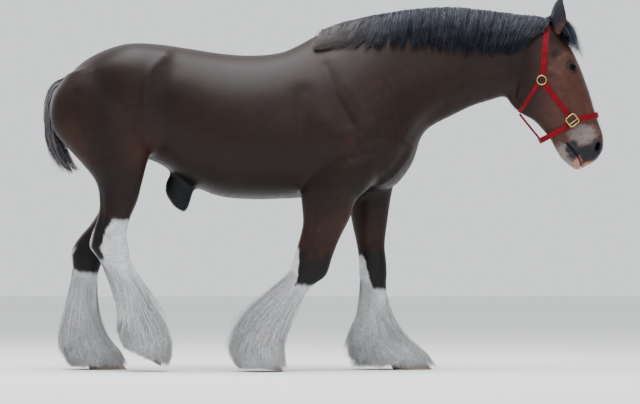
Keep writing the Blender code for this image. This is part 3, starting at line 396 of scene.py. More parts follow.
def headWarp(points, back=False):
    # Zoom about the head's middle: r + (zoom - 1) * reach * tanh(r / reach), undone by Newton steps
    centre, reach = np.array(skinSettings["zoomCentre"]), skinSettings["zoomReach"]
    gain = (skinSettings["headZoom"] - 1) * reach
    v = points - centre
    r = np.maximum(1e-9, np.linalg.norm(v, axis=1))
    if not back:
        return centre + v * ((r + gain * np.tanh(r / reach)) / r)[:, None]
    near = r / skinSettings["headZoom"]
    for _ in range(30):
        near -= (near + gain * np.tanh(near / reach) - r) / (1 + gain / reach / np.cosh(near / reach) ** 2)
    return centre + v * (near / r)[:, None]


def normalsOf(points, quads):
    # Cross of each quad's diagonals, summed at its corners
    face = np.cross(points[quads[:, 2]] - points[quads[:, 0]], points[quads[:, 3]] - points[quads[:, 1]])
    total = np.zeros_like(points)
    for k in range(3):
        for corner in range(4):
            total[:, k] += np.bincount(quads[:, corner], face[:, k], len(points))
    return unit(total)


def relax(points, edges, weight, rounds):
    # Each round moves a point part of the way to the mean of its neighbours
    n = len(points)
    count = np.maximum(1, np.bincount(edges.ravel(), minlength=n))[:, None]
    for _ in range(rounds):
        total = np.stack([np.bincount(edges[:, 0], points[edges[:, 1], k], n)
                          + np.bincount(edges[:, 1], points[edges[:, 0], k], n) for k in range(3)], 1)
        points = points + (total / count - points) * weight[:, None]
    return points


def quadArrays(mesh):
    # Points, edges and the corners of each face, where a triangle names its last corner twice
    def read(items, key, kind, width=1):
        values = np.empty(len(items) * width, kind)
        items.foreach_get(key, values)
        return values

    points = read(mesh.vertices, "co", np.float32, 3).reshape(-1, 3).astype(float)
    edges = read(mesh.edges, "vertices", np.int32, 2).reshape(-1, 2)
    corners = read(mesh.loops, "vertex_index", np.int32)
    starts = read(mesh.polygons, "loop_start", np.int32)
    last = starts + np.where(read(mesh.polygons, "loop_total", np.int32) > 3, 3, 2)
    return points, edges, np.stack([corners[starts], corners[starts + 1], corners[starts + 2], corners[last]], 1)


def movePoints(mesh, points):
    mesh.vertices.foreach_set("co", points.astype(np.float32).ravel())
    mesh.update()


def evaluated(thing):
    graph = bpy.context.evaluated_depsgraph_get()
    made = bpy.data.meshes.new_from_object(thing.evaluated_get(graph))
    bpy.data.objects.remove(thing)
    return made


def lateral(normals):
    # How much a point faces the side, which is how much a form of the side view moves it
    return np.abs(normals[:, 1])


def bodyLofts():
    # All lofts of flesh as one list of points and faces, each closed by a face at its ends
    lofts = [(trunkSections, 6, 112), (headSections, 8, 96), (sheathSections, 5, 32)]
    lofts += [(sections, 6, 64) for knee, sections in legSections.values()]
    dock = tailSections[:5].copy()
    dock[:, 4] *= 0.5
    dock[3:, 2:4] = dock[3:, 2:4] * 0.55 + dock[3:, 0:2] * 0.45
    dock[3:, 4] *= 0.7
    lofts.append((dock, 5, 24))
    grids = []
    for sections, spans, sides in lofts:
        rows = curveThrough(sections, spans)
        level, turn = np.meshgrid(np.linspace(0, 1, len(rows)), circle(sides), indexing="ij")
        grids.append(onRows(rows, level, turn))
    level, turn = np.meshgrid(np.linspace(0.03, featherCore["last"], 30), circle(64), indexing="ij")
    grids += [onCore(*featherRows(name), level, turn)[0] for name in legSections]
    points, faces, first = [], [], 0
    for grid in grids:
        rings, sides = grid.shape[:2]
        points.append(grid.reshape(-1, 3))
        faces += (tubeFaces(rings, sides) + first).tolist()
        faces.append(list(range(first, first + sides)))
        faces.append(list(range(first + (rings - 1) * sides, first + rings * sides))[::-1])
        first += rings * sides
    return np.vstack(points), faces


headDetail = {
    "formStrength": 1.3,
    "eyeScale": 1.18,                    # the ball against its solid, which is set back by
    "eyeBack": 1.10,                     # this share of what it grows
    "lidOpening": (0.0232, 0.0160),      # half sizes of the eye's opening
    "nostril": (1.500, 1.224),
    "nostrilSize": (0.012, 0.025),
    "nostrilLean": 0.30,                 # the way its long side leans, as x for one z
    "nostrilDepth": 0.030,
    "nostrilRim": 0.0048,
    "mouthLine": [(1.330, 1.246), (1.352, 1.222), (1.380, 1.190), (1.403, 1.152), (1.418, 1.105)],
    "mouthTop": 1.262,
    "mouthDepth": 0.009,
    "mouthWidth": 0.0045,
    "lip": (0.0028, 0.013, 0.007),       # height, distance from the line, and width
}
# The socket in radii of the eye: the dome of the lids, the depth of the face round it and how it falls away,
# how softly they meet, and the hollow under the lids with the edge it begins at
socket = {"dome": 1.125, "face": 0.55, "fall": 1.3, "soft": 0.36, "hollow": 0.80, "edge": (0.74, 0.86)}


def eyePlace(side):
    # The ball is larger than its solid, and set back so that its front stays in place
    low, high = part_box("eye_right" if side < 0 else "eye_left")
    radius = (high.x - low.x) / 2
    back = (headDetail["eyeScale"] - 1) * radius * headDetail["eyeBack"]
    return np.array((low + high) / 2) - eyeAxes(side)[0] * back, radius * headDetail["eyeScale"]


def eyeAxes(side):
    # The way the eye looks, and the long and the short way of its opening
    out = unit(np.array([0.30, side, 0.06]))
    along = np.array([0.80, 0.0, -0.60])
    along = unit(along - along @ out * out)
    up = np.cross(out, along)
    return out, along, up if up[2] > 0 else -up


def shapeHead(points, normals):
    # Adds the bones, sockets, nostrils and lips to the skin of the head
    h = headDetail
    side = np.sign(points[:, 1])
    inHead = points[:, 0] > 0.95
    for path, radius, height in headForms:
        fall = hump(pathDistance(points, path), 0, radius)
        points = points + normals * (fall * h["formStrength"] * height * lateral(normals) * inHead)[:, None]
    line = pathDistance(points, h["mouthLine"])
    lipHeight, lipPlace, lipWidth = h["lip"]
    shape = -h["mouthDepth"] * hump(line, 0, h["mouthWidth"])
    shape += lipHeight * hump(line, lipPlace, lipWidth)
    points = points + normals * (shape * (points[:, 2] < h["mouthTop"]))[:, None]
    for s in (-1, 1):
        centre, radius = eyePlace(s)
        out, long, up = eyeAxes(s)
        v = points - centre
        ring, depth = np.hypot(v @ long, v @ up) / radius, v @ out / radius
        near = step(-0.5, 0.35, depth) * step(0.085, 0.045, np.linalg.norm(v, axis=1))
        dome = np.sqrt(np.maximum(0, socket["dome"] ** 2 - ring ** 2))
        face = np.maximum(depth, socket["face"] - socket["fall"] * step(0.90, 2.4, ring))
        blend = np.clip(0.5 + (dome - face) / socket["soft"], 0, 1)
        meet = dome * blend + face * (1 - blend) + socket["soft"] / 2 * blend * (1 - blend)
        sunk = np.sqrt(np.maximum(0, socket["hollow"] ** 2 - ring ** 2))
        inside = 1 - step(*socket["edge"], ring)
        target = meet * (1 - inside) + sunk * inside
        points = points + out * (radius * (target - depth) * near)[:, None]
        # the nostril: a bent oval that sinks inward and up, with a rim
        lean = unit(np.array([h["nostrilLean"], 0, 1.0]))
        w = points - np.array([h["nostril"][0], 0, h["nostril"][1]])
        z = w @ lean
        x = w @ np.array([lean[2], 0, -lean[0]]) + 0.10 * z - 4.0 * z * z
        oval = np.sqrt((x / h["nostrilSize"][0]) ** 2 + (z / h["nostrilSize"][1]) ** 2)
        mine = (side == s) & (points[:, 0] > 1.40) & (np.abs(points[:, 1]) > 0.012)
        hole = np.where(mine, 1 - step(0.55, 1.10, oval), 0)
        rim = np.where(mine, hump(oval, 1.45, 0.34), 0)
        inward = unit(np.array([-0.35, -s * 0.85, 0.40]))
        points = points + inward[None] * (hole * h["nostrilDepth"])[:, None]
        points = points + normals * (rim * h["nostrilRim"])[:, None]
    return points


def makeSkin():
    points, faces = bodyLofts()
    rough = bpy.data.meshes.new("lofts")
    rough.from_pydata(headWarp(points).tolist(), [], faces)
    shell = linked("lofts", rough)
    voxels = shell.modifiers.new("voxels", "REMESH")
    voxels.mode, voxels.voxel_size = "VOXEL", skinSettings["voxel"]
    mesh = evaluated(shell)
    points, edges, quads = quadArrays(mesh)
    points = headWarp(points, back=True)
    headness = step(1.00, 1.16, points[:, 0] - 0.35 * (1.7 - points[:, 2]))
    legness = 1 - step(0.86, 1.04, points[:, 2])
    points = relax(points, edges, 0.5 * (1 - headness) * (1 - legness), skinSettings["bodyRounds"])
    points = relax(points, edges, 0.5 * (1 - headness), skinSettings["legRounds"])
    points = relax(points, edges, np.full(len(points), 0.5), skinSettings["headRounds"])
    normals = normalsOf(points, quads)
    points = points - normals * (skinSettings["depth"] * (1 - 0.5 * headness))[:, None]
    for path, radius, height in forms:
        fall = hump(pathDistance(points, path), 0, radius)
        points = points + normals * (fall * height * lateral(normals))[:, None]
    movePoints(mesh, points)
    # finer faces round the eyes, nostrils and lips
    bm = bmesh.new()
    bm.from_mesh(mesh)
    spots = [(Vector((1.50, 0, 1.224)), 0.085), (Vector((1.375, 0, 1.175)), 0.100)]
    spots += [(Vector(eyePlace(s)[0]), 0.055) for s in (-1, 1)]
    fine = [e for e in bm.edges if e.verts[0].co.x > 1.2
            and any((e.verts[0].co - spot).length < reach for spot, reach in spots)]
    bmesh.ops.subdivide_edges(bm, edges=fine, cuts=1, use_grid_fill=True)
    bmesh.ops.triangulate(bm, faces=[f for f in bm.faces if len(f.verts) > 4])
    bm.to_mesh(mesh)
    bm.free()
    points, edges, quads = quadArrays(mesh)
    shaped = shapeHead(points, normalsOf(points, quads))
    moved = step(0.0, 0.002, np.linalg.norm(shaped - points, axis=1)) * step(1.2, 1.25, points[:, 0])
    points = relax(shaped, edges, 0.35 * moved, 1)
    movePoints(mesh, points)
    mesh = thinned(mesh, points, edges)
    points, edges, quads = quadArrays(mesh)
    mesh.polygons.foreach_set("use_smooth", np.ones(len(mesh.polygons), bool))
    return mesh, points, quads, normalsOf(points, quads)


def thinned(mesh, points, edges):
    # Collapses edges on the plain parts; points of the head and along the edges of the markings stay
    shade = coatColour(points)
    jump = np.abs(shade[edges[:, 0]] - shade[edges[:, 1]]).max(1) > 0.05
    keep = np.zeros(len(points))
    keep[edges[jump].ravel()] = 1
    keep = np.maximum(keep, step(1.08, 1.20, points[:, 0]))
    thing = linked("thinned", mesh)
    group = thing.vertex_groups.new(name="free")
    for level in range(1, 5):
        chosen = np.flatnonzero(np.round((1 - keep) * 4) == level)
        if len(chosen):
            group.add(chosen.tolist(), level / 4, "REPLACE")
    faces = sum(len(p.vertices) - 2 for p in mesh.polygons)
    modifier = thing.modifiers.new("thin", "DECIMATE")
    modifier.ratio = skinSettings["triangles"] / faces
    modifier.vertex_group = "free"
    modifier.vertex_group_factor = 0.0005
    modifier.use_collapse_triangulate = True
    return evaluated(thing)


# Markings of the coat, the same for the skin and for every tuft on it

# white, for the stockings and the feather, is the blaze's white hair made darker: a shaded copy, so painted shade
# on the legs
coatColours = {name: hexColour(text) for name, text in {
    "bay": "#1c0e0a", "bayDark": "#120705", "bayRed": "#331a12", "face": "#452821",
    "black": "#07080b", "white": "#adaeb1", "blaze": "#bcbfc7", "cream": "#3d312a", "mealy": "#76706e",
    "darkSkin": "#17191e", "pinkSkin": "#9a6a5e", "chin": "#7d746f",
}.items()}
# White height at the front and at the rear, where between them its edge lies (1 front, -1 rear),
# the top of the black, and the top of a thin white line down the rear edge
stockings = {
    "foreRight": (0.465, 0.672, -0.62, 0.620, 0.0),
    "foreLeft": (0.445, 0.625, -0.35, 0.660, 0.0),
    "hindRight": (0.820, 0.600, -0.30, 0.830, 0.79),
    "hindLeft": (0.535, 0.545, -0.30, 0.700, 0.69),
}
# Zones of the muzzle in the side view: colour, centre x, z, half sizes, tilt, strength
muzzleZones = [
    ("mealy", 1.420, 1.288, 0.080, 0.056, 0.25, 0.62),
    ("chin", 1.325, 1.165, 0.065, 0.080, 0.60, 0.75),
    ("darkSkin", 1.436, 1.186, 0.098, 0.046, 0.10, 0.96),
    ("darkSkin", 1.358, 1.224, 0.028, 0.046, -0.50, 0.96),
    ("darkSkin", 1.505, 1.222, 0.040, 0.046, 0.20, 0.92),
    ("pinkSkin", 1.462, 1.120, 0.072, 0.026, 0.25, 0.85),
    ("pinkSkin", 1.391, 1.122, 0.024, 0.046, -0.20, 0.90),
]
# The front edge of the face by height, and half the width of its blaze
blazeFront = ([1.10, 1.18, 1.22, 1.29, 1.37, 1.44, 1.52, 1.61, 1.70, 1.78],
              [1.45, 1.52, 1.54, 1.54, 1.518, 1.496, 1.468, 1.436, 1.398, 1.352])
blazeHalf = ([1.14, 1.22, 1.30, 1.45, 1.60, 1.74], [0.022, 0.026, 0.032, 0.042, 0.050, 0.030])


def alongLeg(sections, z, column):
    # A column of a leg's sections, read off at each height
    heights = (sections[:, 1] + sections[:, 3]) / 2
    order = np.argsort(heights)
    return np.interp(z, heights[order], column[order])


def onLeg(points, name, top):
    # True for what belongs to one leg, under a height
    x, y, z = points.T
    behind = x < -0.6 if name.startswith("hind") else x > -0.6
    return (z < top) & (np.sign(y) == (-1 if name.endswith("Right") else 1)) & behind


def legFrame(points, name):
    # How far a point is from a leg's middle line, and its place from the front (1) to the rear (-1)
    sections = legSections[name][1]
    high, low, side, thick = (alongLeg(sections, points[:, 2], sections[:, k]) for k in (0, 2, 5, 4))
    middle, half = (high + low) / 2, np.abs(high - low) / 2
    away = np.maximum(np.abs(points[:, 0] - middle) / (half + 0.02), np.abs(points[:, 1] - side) / (thick + 0.02))
    return away, np.clip((points[:, 0] - middle) / half, -1.2, 1.2)


def coatColour(points):
    # Bay with noise, then the black points, the stockings, the blaze and the muzzle, laid over each other. Some
    # of it is painted light: painted shade under the trunk, in the hollow over the eye, in the nostrils and along
    # the mouth, and a painted highlight down the rear edge of the buttock
    x, y, z = points.T
    c = coatColours
    broad, fine, small = wobble(points, 0.45, 3), wobble(points, 0.055, 5), wobble(points, 0.02, 9)
    # under: the low trunk, belly and thighs, darkened towards bayDark as painted shade of the underside
    under = step(1.32, 1.02, z) * step(1.25, 1.05, np.abs(x + 0.35))
    red = step(0.2, 1.8, broad + 0.3 * fine) * step(-0.35, 0.15, x) * (1 - step(0.5, 0.9, x))
    stifle = np.exp(-((x + 0.98) / 0.09) ** 2 - ((z - 1.18) / 0.10) ** 2)
    # rear: a lighter red line down the rear edge of the buttock, a painted highlight where the light catches that
    # edge
    rear = np.exp(-((x + 1.38 - 0.35 * (1.35 - z)) / 0.05) ** 2) * step(1.05, 1.15, z) * step(1.45, 1.3, z)
    belly = step(0.992, 0.955, z + 0.010 * fine) * step(0.24, 0.15, np.abs(y)) \
        * step(0.26, 0.16, x) * step(-0.75, -0.6, x)
    out = mix(c["bay"], c["bayDark"], 0.75 * step(-0.4, 1.8, broad + 0.5 * (x < -0.8)))
    for name, share in (
        ("bayDark", 0.85 * under),
        ("bayRed", np.clip(0.40 * red + 0.55 * stifle + 0.5 * rear + 0.35 * step(0.95, 0.75, z), 0, 0.8)),
        ("face", 0.85 * step(1.10, 1.30, x) * (1 - step(1.70, 1.82, z))),
        ("cream", 0.14 * belly * step(0.85, 0.9, z)),
    ):
        out = mix(out, c[name], share)
    for name, (front, rear, where, top, line) in stockings.items():
        away, ahead = legFrame(points, name)
        mine = (away < 2.2) & onLeg(points, name, 1.1)
        ragged = 0.005 * wobble(points * np.array([1.0, 1.0, 0.25]), 0.040, 8)
        across = step(where - 0.30, where + 0.30, ahead + 0.03 * wobble(points, 0.08, 14))
        edge = rear + (front - rear) * across + ragged
        black = mine * step(top + 0.05, top - 0.03, z + 0.02 * fine)
        out = mix(out, c["black"], black * (0.75 + 0.25 * np.abs(ahead)))
        out = mix(out, c["white"], mine * step(edge + 0.014, edge - 0.014, z))
        thin = mine * step(line, line - 0.04, z + ragged) * step(-0.80, -0.95, ahead)
        out = mix(out, c["white"], thin * 0.8)
    sheath = step(-0.94, -0.90, x) * step(-0.66, -0.72, x) * step(0.12, 0.08, np.abs(y))
    poll = step(1.02, 1.12, x) * step(1.74, 1.86, z)
    # hollow: the recess over the eye darkened towards bayDark, painted shade
    hollow = np.exp(-((x - 1.265) / 0.045) ** 2 - ((z - 1.725) / 0.035) ** 2)
    out = mix(out, c["black"], sheath * step(1.13, 1.04, z))
    out = mix(out, c["bayDark"], 0.8 * poll)
    out = mix(out, c["bayDark"], 0.75 * hollow * (x > 1.1))
    # muzzle, and the blaze down the front of the face
    soft = 0.09 * fine + 0.07 * small
    lowFace = step(1.24, 1.30, x)
    for name, middle, high, half, tall, tilt, strength in muzzleZones:
        dx, dz = x - middle, z - high
        far = np.hypot((dx * math.cos(tilt) + dz * math.sin(tilt)) / half,
                       (dz * math.cos(tilt) - dx * math.sin(tilt)) / tall)
        out = mix(out, c[name], strength * step(1.30, 0.62, far + soft) * lowFace)
    front, half = np.interp(z, *blazeFront), np.interp(z, *blazeHalf)
    blaze = step(half + 0.007, half - 0.005, np.abs(y) + 0.003 * wobble(points, 0.11, 12)) * (x > front - 0.05)
    out = mix(out, c["blaze"], blaze * step(1.785, 1.745, z) * step(1.150, 1.175, z) * (x > 1.3))
    # the inside of each nostril painted near black: a painted shadow in the sunk hole
    place, lean = headDetail["nostril"], headDetail["nostrilLean"]
    hole = np.hypot((x - place[0] - lean * (z - place[1])) / 0.016, (z - place[1]) / 0.030)
    out = mix(out, c["darkSkin"] * 0.35, step(1.20, 0.80, hole) * (x > 1.4) * (np.abs(y) > 0.012))
    # the mouth line painted darker than the dark skin of the lips: painted shade in its crease
    mouth = pathDistance(points, headDetail["mouthLine"]) + 0.1 * (z > headDetail["mouthTop"])
    out = mix(out, c["darkSkin"] * 0.6, 0.9 * step(0.0065, 0.002, mouth) * (x > 1.3))
    for s in (-1, 1):
        long, up = eyeAxes(s)[1:]
        v = points - eyePlace(s)[0]
        ring = np.hypot(v @ long / 0.044, (v @ up - 0.006) / 0.033)
        near = np.linalg.norm(v, axis=1) < 0.08
        out = mix(out, c["bayDark"] * 0.6, near * 0.85 * step(1.20, 0.60, ring))
    shade = 1 + 0.07 * fine + 0.05 * wobble(points, 0.012, 15)
    return np.clip(out * shade[:, None], 0, 1)


def coatLie(points):
    # The way the hair lies: back along the trunk, down the neck and legs, down the face
    x, z = points[:, 0], points[:, 2]
    way = np.tile(np.array([-0.95, 0.0, -0.28]), (len(points), 1))
    for aim, share in (((-0.45, 0.0, -0.88), step(0.25, 0.75, x)), ((0.40, 0.0, -0.90), step(1.05, 1.20, x)),
                       ((-0.12, 0.0, -1.0), 1 - step(0.85, 1.15, z))):
        way = mix(way, np.array(aim), share)
    way = way + 0.16 * np.stack([wobble(points, 0.35, 31), wobble(points, 0.3, 32), wobble(points, 0.35, 33)], 1)
    return unit(way)


def coatUnwrap(points):
    # A map of the skin: the trunk by x and the angle round it, each leg and the head on tiles of their own
    x, y, z = points.T
    spine = np.interp(x, [-1.4, -0.4, 0.2, 0.6, 1.0, 1.3], [1.5, 1.34, 1.4, 1.66, 1.72, 1.7])
    angle = np.arctan2(y, z - spine) / (2 * math.pi) + 0.5
    u, v = 0.02 + 0.46 * (x + 1.55) / 2.75, 0.02 + 0.44 * angle
    head = x > 1.12
    fromPoll = points - np.array([1.2, 0, 1.8])
    along, front = fromPoll @ unit(np.array([0.30, 0, -0.95])), fromPoll @ unit(np.array([0.95, 0, 0.30]))
    u = np.where(head, 0.52 + 0.46 * np.clip((along + 0.15) / 0.95, 0, 1), u)
    v = np.where(head, 0.02 + 0.44 * (np.arctan2(y, front - 0.02) / (2 * math.pi) + 0.5), v)
    for k, (name, (knee, sections)) in enumerate(legSections.items()):
        middle = alongLeg(sections, z, (sections[:, 0] + sections[:, 2]) / 2)
        mine = onLeg(points, name, 1.0)
        turn = np.arctan2(y - sections[5, 5], x - middle) / (2 * math.pi) + 0.5
        u = np.where(mine, 0.02 + 0.245 * k + 0.22 * turn, u)
        v = np.where(mine, 0.52 + 0.44 * np.clip(z, 0, 1), v)
    return np.stack([u, v], 1)


# Hair: every lock is a flat closed blade along a path, with a point at its tip

lockPatch = 0.003


def lockMesh(name, paths, outs, halves, colours, flatness, rootUv):
    # paths, outs (n, k, 3); halves (n, k). A blade is flat under and has a ridge on top:
    # its corners are path + across * half, path + ridge * half * flatness, path - across * half
    n, k = paths.shape[:2]
    ahead = unit(np.gradient(paths, axis=1))
    across = unit(np.cross(ahead, outs))
    ridge = np.cross(across, ahead)
    half = halves[..., None]
    corners = [paths + across * half, paths + ridge * half * flatness, paths - across * half]
    corners = np.stack(corners, 2)[:, :-1]
    points = np.concatenate([corners.reshape(n, -1, 3), paths[:, -1:]], 1)
    size = points.shape[1]
    shades = np.concatenate([np.repeat(colours[:, :-1, None], 3, 2).reshape(n, -1, 3), colours[:, -1:]], 1)
    i, j = np.meshgrid(np.arange(k - 2), np.arange(3), indexing="ij")
    m = (j + 1) % 3
    quads = np.stack([i * 3 + j, (i + 1) * 3 + j, (i + 1) * 3 + m, i * 3 + m], -1).reshape(-1, 4)
    e = np.arange(3)
    tips = np.stack([(k - 2) * 3 + e, np.full(3, size - 1), (k - 2) * 3 + (e + 1) % 3], -1)
    caps = np.array([[0, 1, 2]])
    # each lock has a patch of the coat's map to itself, from the place it grows at
    quadUv = np.stack([np.stack([j + a, i + b], -1) for a, b in ((0, 0), (0, 1), (1, 1), (1, 0))], 2)
    tipUv = np.stack([np.stack([e + a, np.full(3, k - b)], -1) for a, b in ((0, 2), (0.5, 1), (1, 2))], 1)
    capUv = np.array([[[0, 0], [1, 0], [1, 0.2]]])
    scale = lockPatch / np.array([3, k - 1])
    first = (np.arange(n) * size)[:, None, None]
    faces = [(f[None] + first).reshape(-1, f.shape[1]) for f in (quads, tips, caps)]
    patches = (quadUv.reshape(-1, 4, 2), tipUv, capUv)
    uv = [(rootUv[:, None, None] + u[None] * scale).reshape(-1, 2) for u in patches]
    return buildMesh(name, points.reshape(-1, 3), faces, shades.reshape(-1, 3), uv, "OFBake", smooth=False)


def addHair(name, paths, outs, halves, colours, material, replaces=(), flatness=0.5):
    mesh = lockMesh(name, paths, outs, halves, colours, flatness, coatUnwrap(paths[:, 0]))
    return addPiece(name, mesh, material, replaces)


def taper(k):
    # Half width along a lock: from 0.75 at the root up to 1, then down to the tip by 1 - f ^ 2.5
    f = np.linspace(0, 1, k)
    return (0.75 + 0.25 * step(0, 0.25, f)) * (1 - f ** 2.5)


def hairStart(s, seed):
    # Random numbers, how many clumps, locks in a clump and points on a lock, and the way along one from 0 to 1
    k = s["points"]
    return np.random.default_rng(seed), s["clumps"], s["perClump"], k, np.linspace(0, 1, k)[None, None]


def lockHalves(s, draw):
    count = s["clumps"] * s["perClump"]
    return s["halfWidth"] * taper(s["points"])[None] * draw.uniform(0.6, s["widest"], (count, 1))


def waved(paths, s):
    # Locks stray from their line, the more the nearer the tip, by the height, size and seed of the waves
    height, size, seed = s["wave"]
    f = np.linspace(0, 1, paths.shape[1])[None, :, None]
    return paths + height * np.stack([wobble(paths, size, seed + a) for a in range(3)], -1) * f


def shadesOf(s):
    return (hexColour(text) for text in s["colours"])


def blend(a, b, share):
    return a * (1 - share) + b * share


def hairColour(root, tip, draw, length, spread=0.16, mid=0.5):
    # A brightness for each lock, and a blend from the root's colour to the tip's along it
    f = step(mid - 0.45, mid + 0.45, np.linspace(0, 1, length))[None, :, None]
    shade = (1 + spread * draw.normal(size=len(root)))[:, None, None]
    return np.clip(blend(root[:, None], tip[:, None], f) * shade, 0, 1)


featherSettings = {
    "clumps": 300,
    "perClump": 18,
    "points": 7,
    "halfWidth": 0.0017,
    "widest": 1.3,          # the widest lock against the mean one
    "tipHalf": 0.0002,
    "wave": (0.0050, 0.06, 41),
    "rootSpread": 0.20,     # how far the locks of a clump lie apart at the root, as an angle
    "endSpread": 0.035,     # and how far their ends differ, as a share of the leg's length
    "gather": 0.40,         # how far the hair of a clump draws together at the tips
    "hidden": 0.20,         # hair whose root is darker than this lies under the skin, which shows the black
    "sunk": (0.014, 0.008),       # how deep hidden and plain roots lie
    "floor": 0.002,
    "warm": (1.0, 0.97, 0.92),    # tint of every third lock
    "fringe": 0.38,         # share of the clumps that start low and hang over the hoof to the floor
}


def makeFeather(number, name, material):
    s = featherSettings
    draw, c, p, k, f = hairStart(s, 300 + number)
    bone, hem = featherRows(name)
    # clumps are thicker on the rear, and their roots go from the knee to the coronet
    low = draw.uniform(0, 1, c) < s["fringe"]
    start = np.where(low, draw.uniform(0.42, 0.84, c), draw.uniform(0.0, 1.0, c) ** 0.9 * 0.80)
    turn = math.pi + draw.normal(0, 1.15 + 0.9 * start, c)
    turn = np.where(low | (np.abs(turn - math.pi) > math.pi), draw.uniform(0, 2 * math.pi, c), turn)
    stop = np.where(low, draw.uniform(0.94, 1.0, c), np.clip(start + draw.uniform(0.26, 0.46, c), 0, 1.0))
    layer = np.where(low, draw.uniform(0.80, 1.0, c), draw.uniform(0.55, 1.0, c))
    sway = draw.normal(0, 0.12, c)
    dTurn = draw.normal(0, s["rootSpread"], (c, p))[..., None]
    dStart, dStop = (draw.normal(0, s["endSpread"], (c, p))[..., None] for _ in range(2))
    gather = 1 - s["gather"] * f ** 0.8
    begin = np.clip(start[:, None, None] + dStart, 0, 0.9)
    rootAngle = turn[:, None, None] + dTurn
    rootColour = coatColour(onCore(bone, hem, begin, rootAngle)[0].reshape(-1, 3))
    dark = (rootColour.mean(1) < s["hidden"]).reshape(c, p, 1)
    end = np.where(dark, begin + 0.02, np.clip(stop[:, None, None] + dStop, 0, 1))
    level = np.clip(blend(begin, end, f), 0, 1)
    angle = turn[:, None, None] + dTurn * gather + sway[:, None, None] * np.sin(f * 2.6) \
        + draw.normal(0, 0.07, (c, p))[..., None] * f
    depth = np.clip(layer[:, None] + draw.normal(0, 0.10, (c, p)), 0.45, 1.04)[..., None]
    middle = middleOf(bone, np.minimum(1.0, level * featherCore["boneReach"]))
    inside, outside = onCore(bone, hem, level, angle)
    lift = (0.03 + 0.97 * f ** 0.8) * depth * np.where(dark, 0.0, 1.0)
    inside = inside - unit(inside - middle) * np.where(dark, s["sunk"][0], s["sunk"][1] * (1 - f) ** 2)[..., None]
    paths = inside + (outside - inside) * lift[..., None]
    # the height follows the hem alone, so that inner hair is as long as outer hair
    paths[..., 2] = inside[..., 2] + (outside - inside)[..., 2] * np.where(dark, 0.0, f ** 0.8)
    n = c * p
    paths, middle = waved(paths.reshape(n, k, 3), s), middle.reshape(n, k, 3)
    paths[..., 2] = np.maximum(paths[..., 2], s["floor"] + 0.003 * draw.uniform(0, 1, (n, 1)))
    out = paths - middle
    out[..., 2] *= 0.25
    halves = lockHalves(s, draw)
    halves[:, -1] = s["tipHalf"]
    clumpShade = np.repeat(draw.uniform(0.88, 1.08, c), p)[:, None]
    # inner locks are darker, by 0.80 + 0.20 of their depth: painted shade inside the feather
    white = coatColours["white"][None] * (0.80 + 0.20 * depth.reshape(n, 1)) * clumpShade
    white = np.where(draw.uniform(0, 1, (n, 1)) < 0.3, white * np.array(s["warm"])[None], white)
    dark = dark.reshape(n, 1)
    tip = np.where(dark, rootColour, white)
    root = np.where(dark, rootColour, blend(rootColour, white, 0.6))
    colours = hairColour(root, tip, draw, k, 0.07, 0.3)
    addHair("feather" + name[0].upper() + name[1:], paths, unit(out), halves, colours, material,
            ["leg_" + cadLegNames[name] + "_lower"])


maneSettings = {
    "clumps": 230,
    "perClump": 17,
    "points": 8,
    "halfWidth": 0.0017,
    "widest": 1.35,
    "wave": (0.0035, 0.07, 51),
    "colours": ("#070913", "#5c5e6b", "#75685c"),     # dark, blue-tinted as painted sky reflection; pale, a painted sheen; and the tan of the withers
    "start": 0.005,
    "end": 1.245,
    "lean": 0.28,           # how far the roots lie round the crest, as an angle
    "palest": 0.75,         # share of the pale colour at the palest root, a painted sheen along the crest
    "streak": 0.28,         # and in the palest streak, a painted highlight
    "tan": 0.65,            # share of tan at the withers: sun-bleached hair, partly a painted highlight where the light hits
    "quiet": (0.40, 0.90),  # brightness of the first two points, which keeps the line of the crest quiet
}
# How the mane falls, by x of its root or its tip: how far a lock slants back, and the height of its lower edge
maneSlant = ([0.0, 0.24, 0.32, 0.45, 0.60, 1.25], [0.07, 0.31, 0.25, 0.09, 0.04, 0.02])
maneEdge = ([-0.07, 0.60, 0.78, 0.97, 1.14, 1.19, 1.25], [1.745, 1.745, 1.712, 1.706, 1.716, 1.765, 1.83])


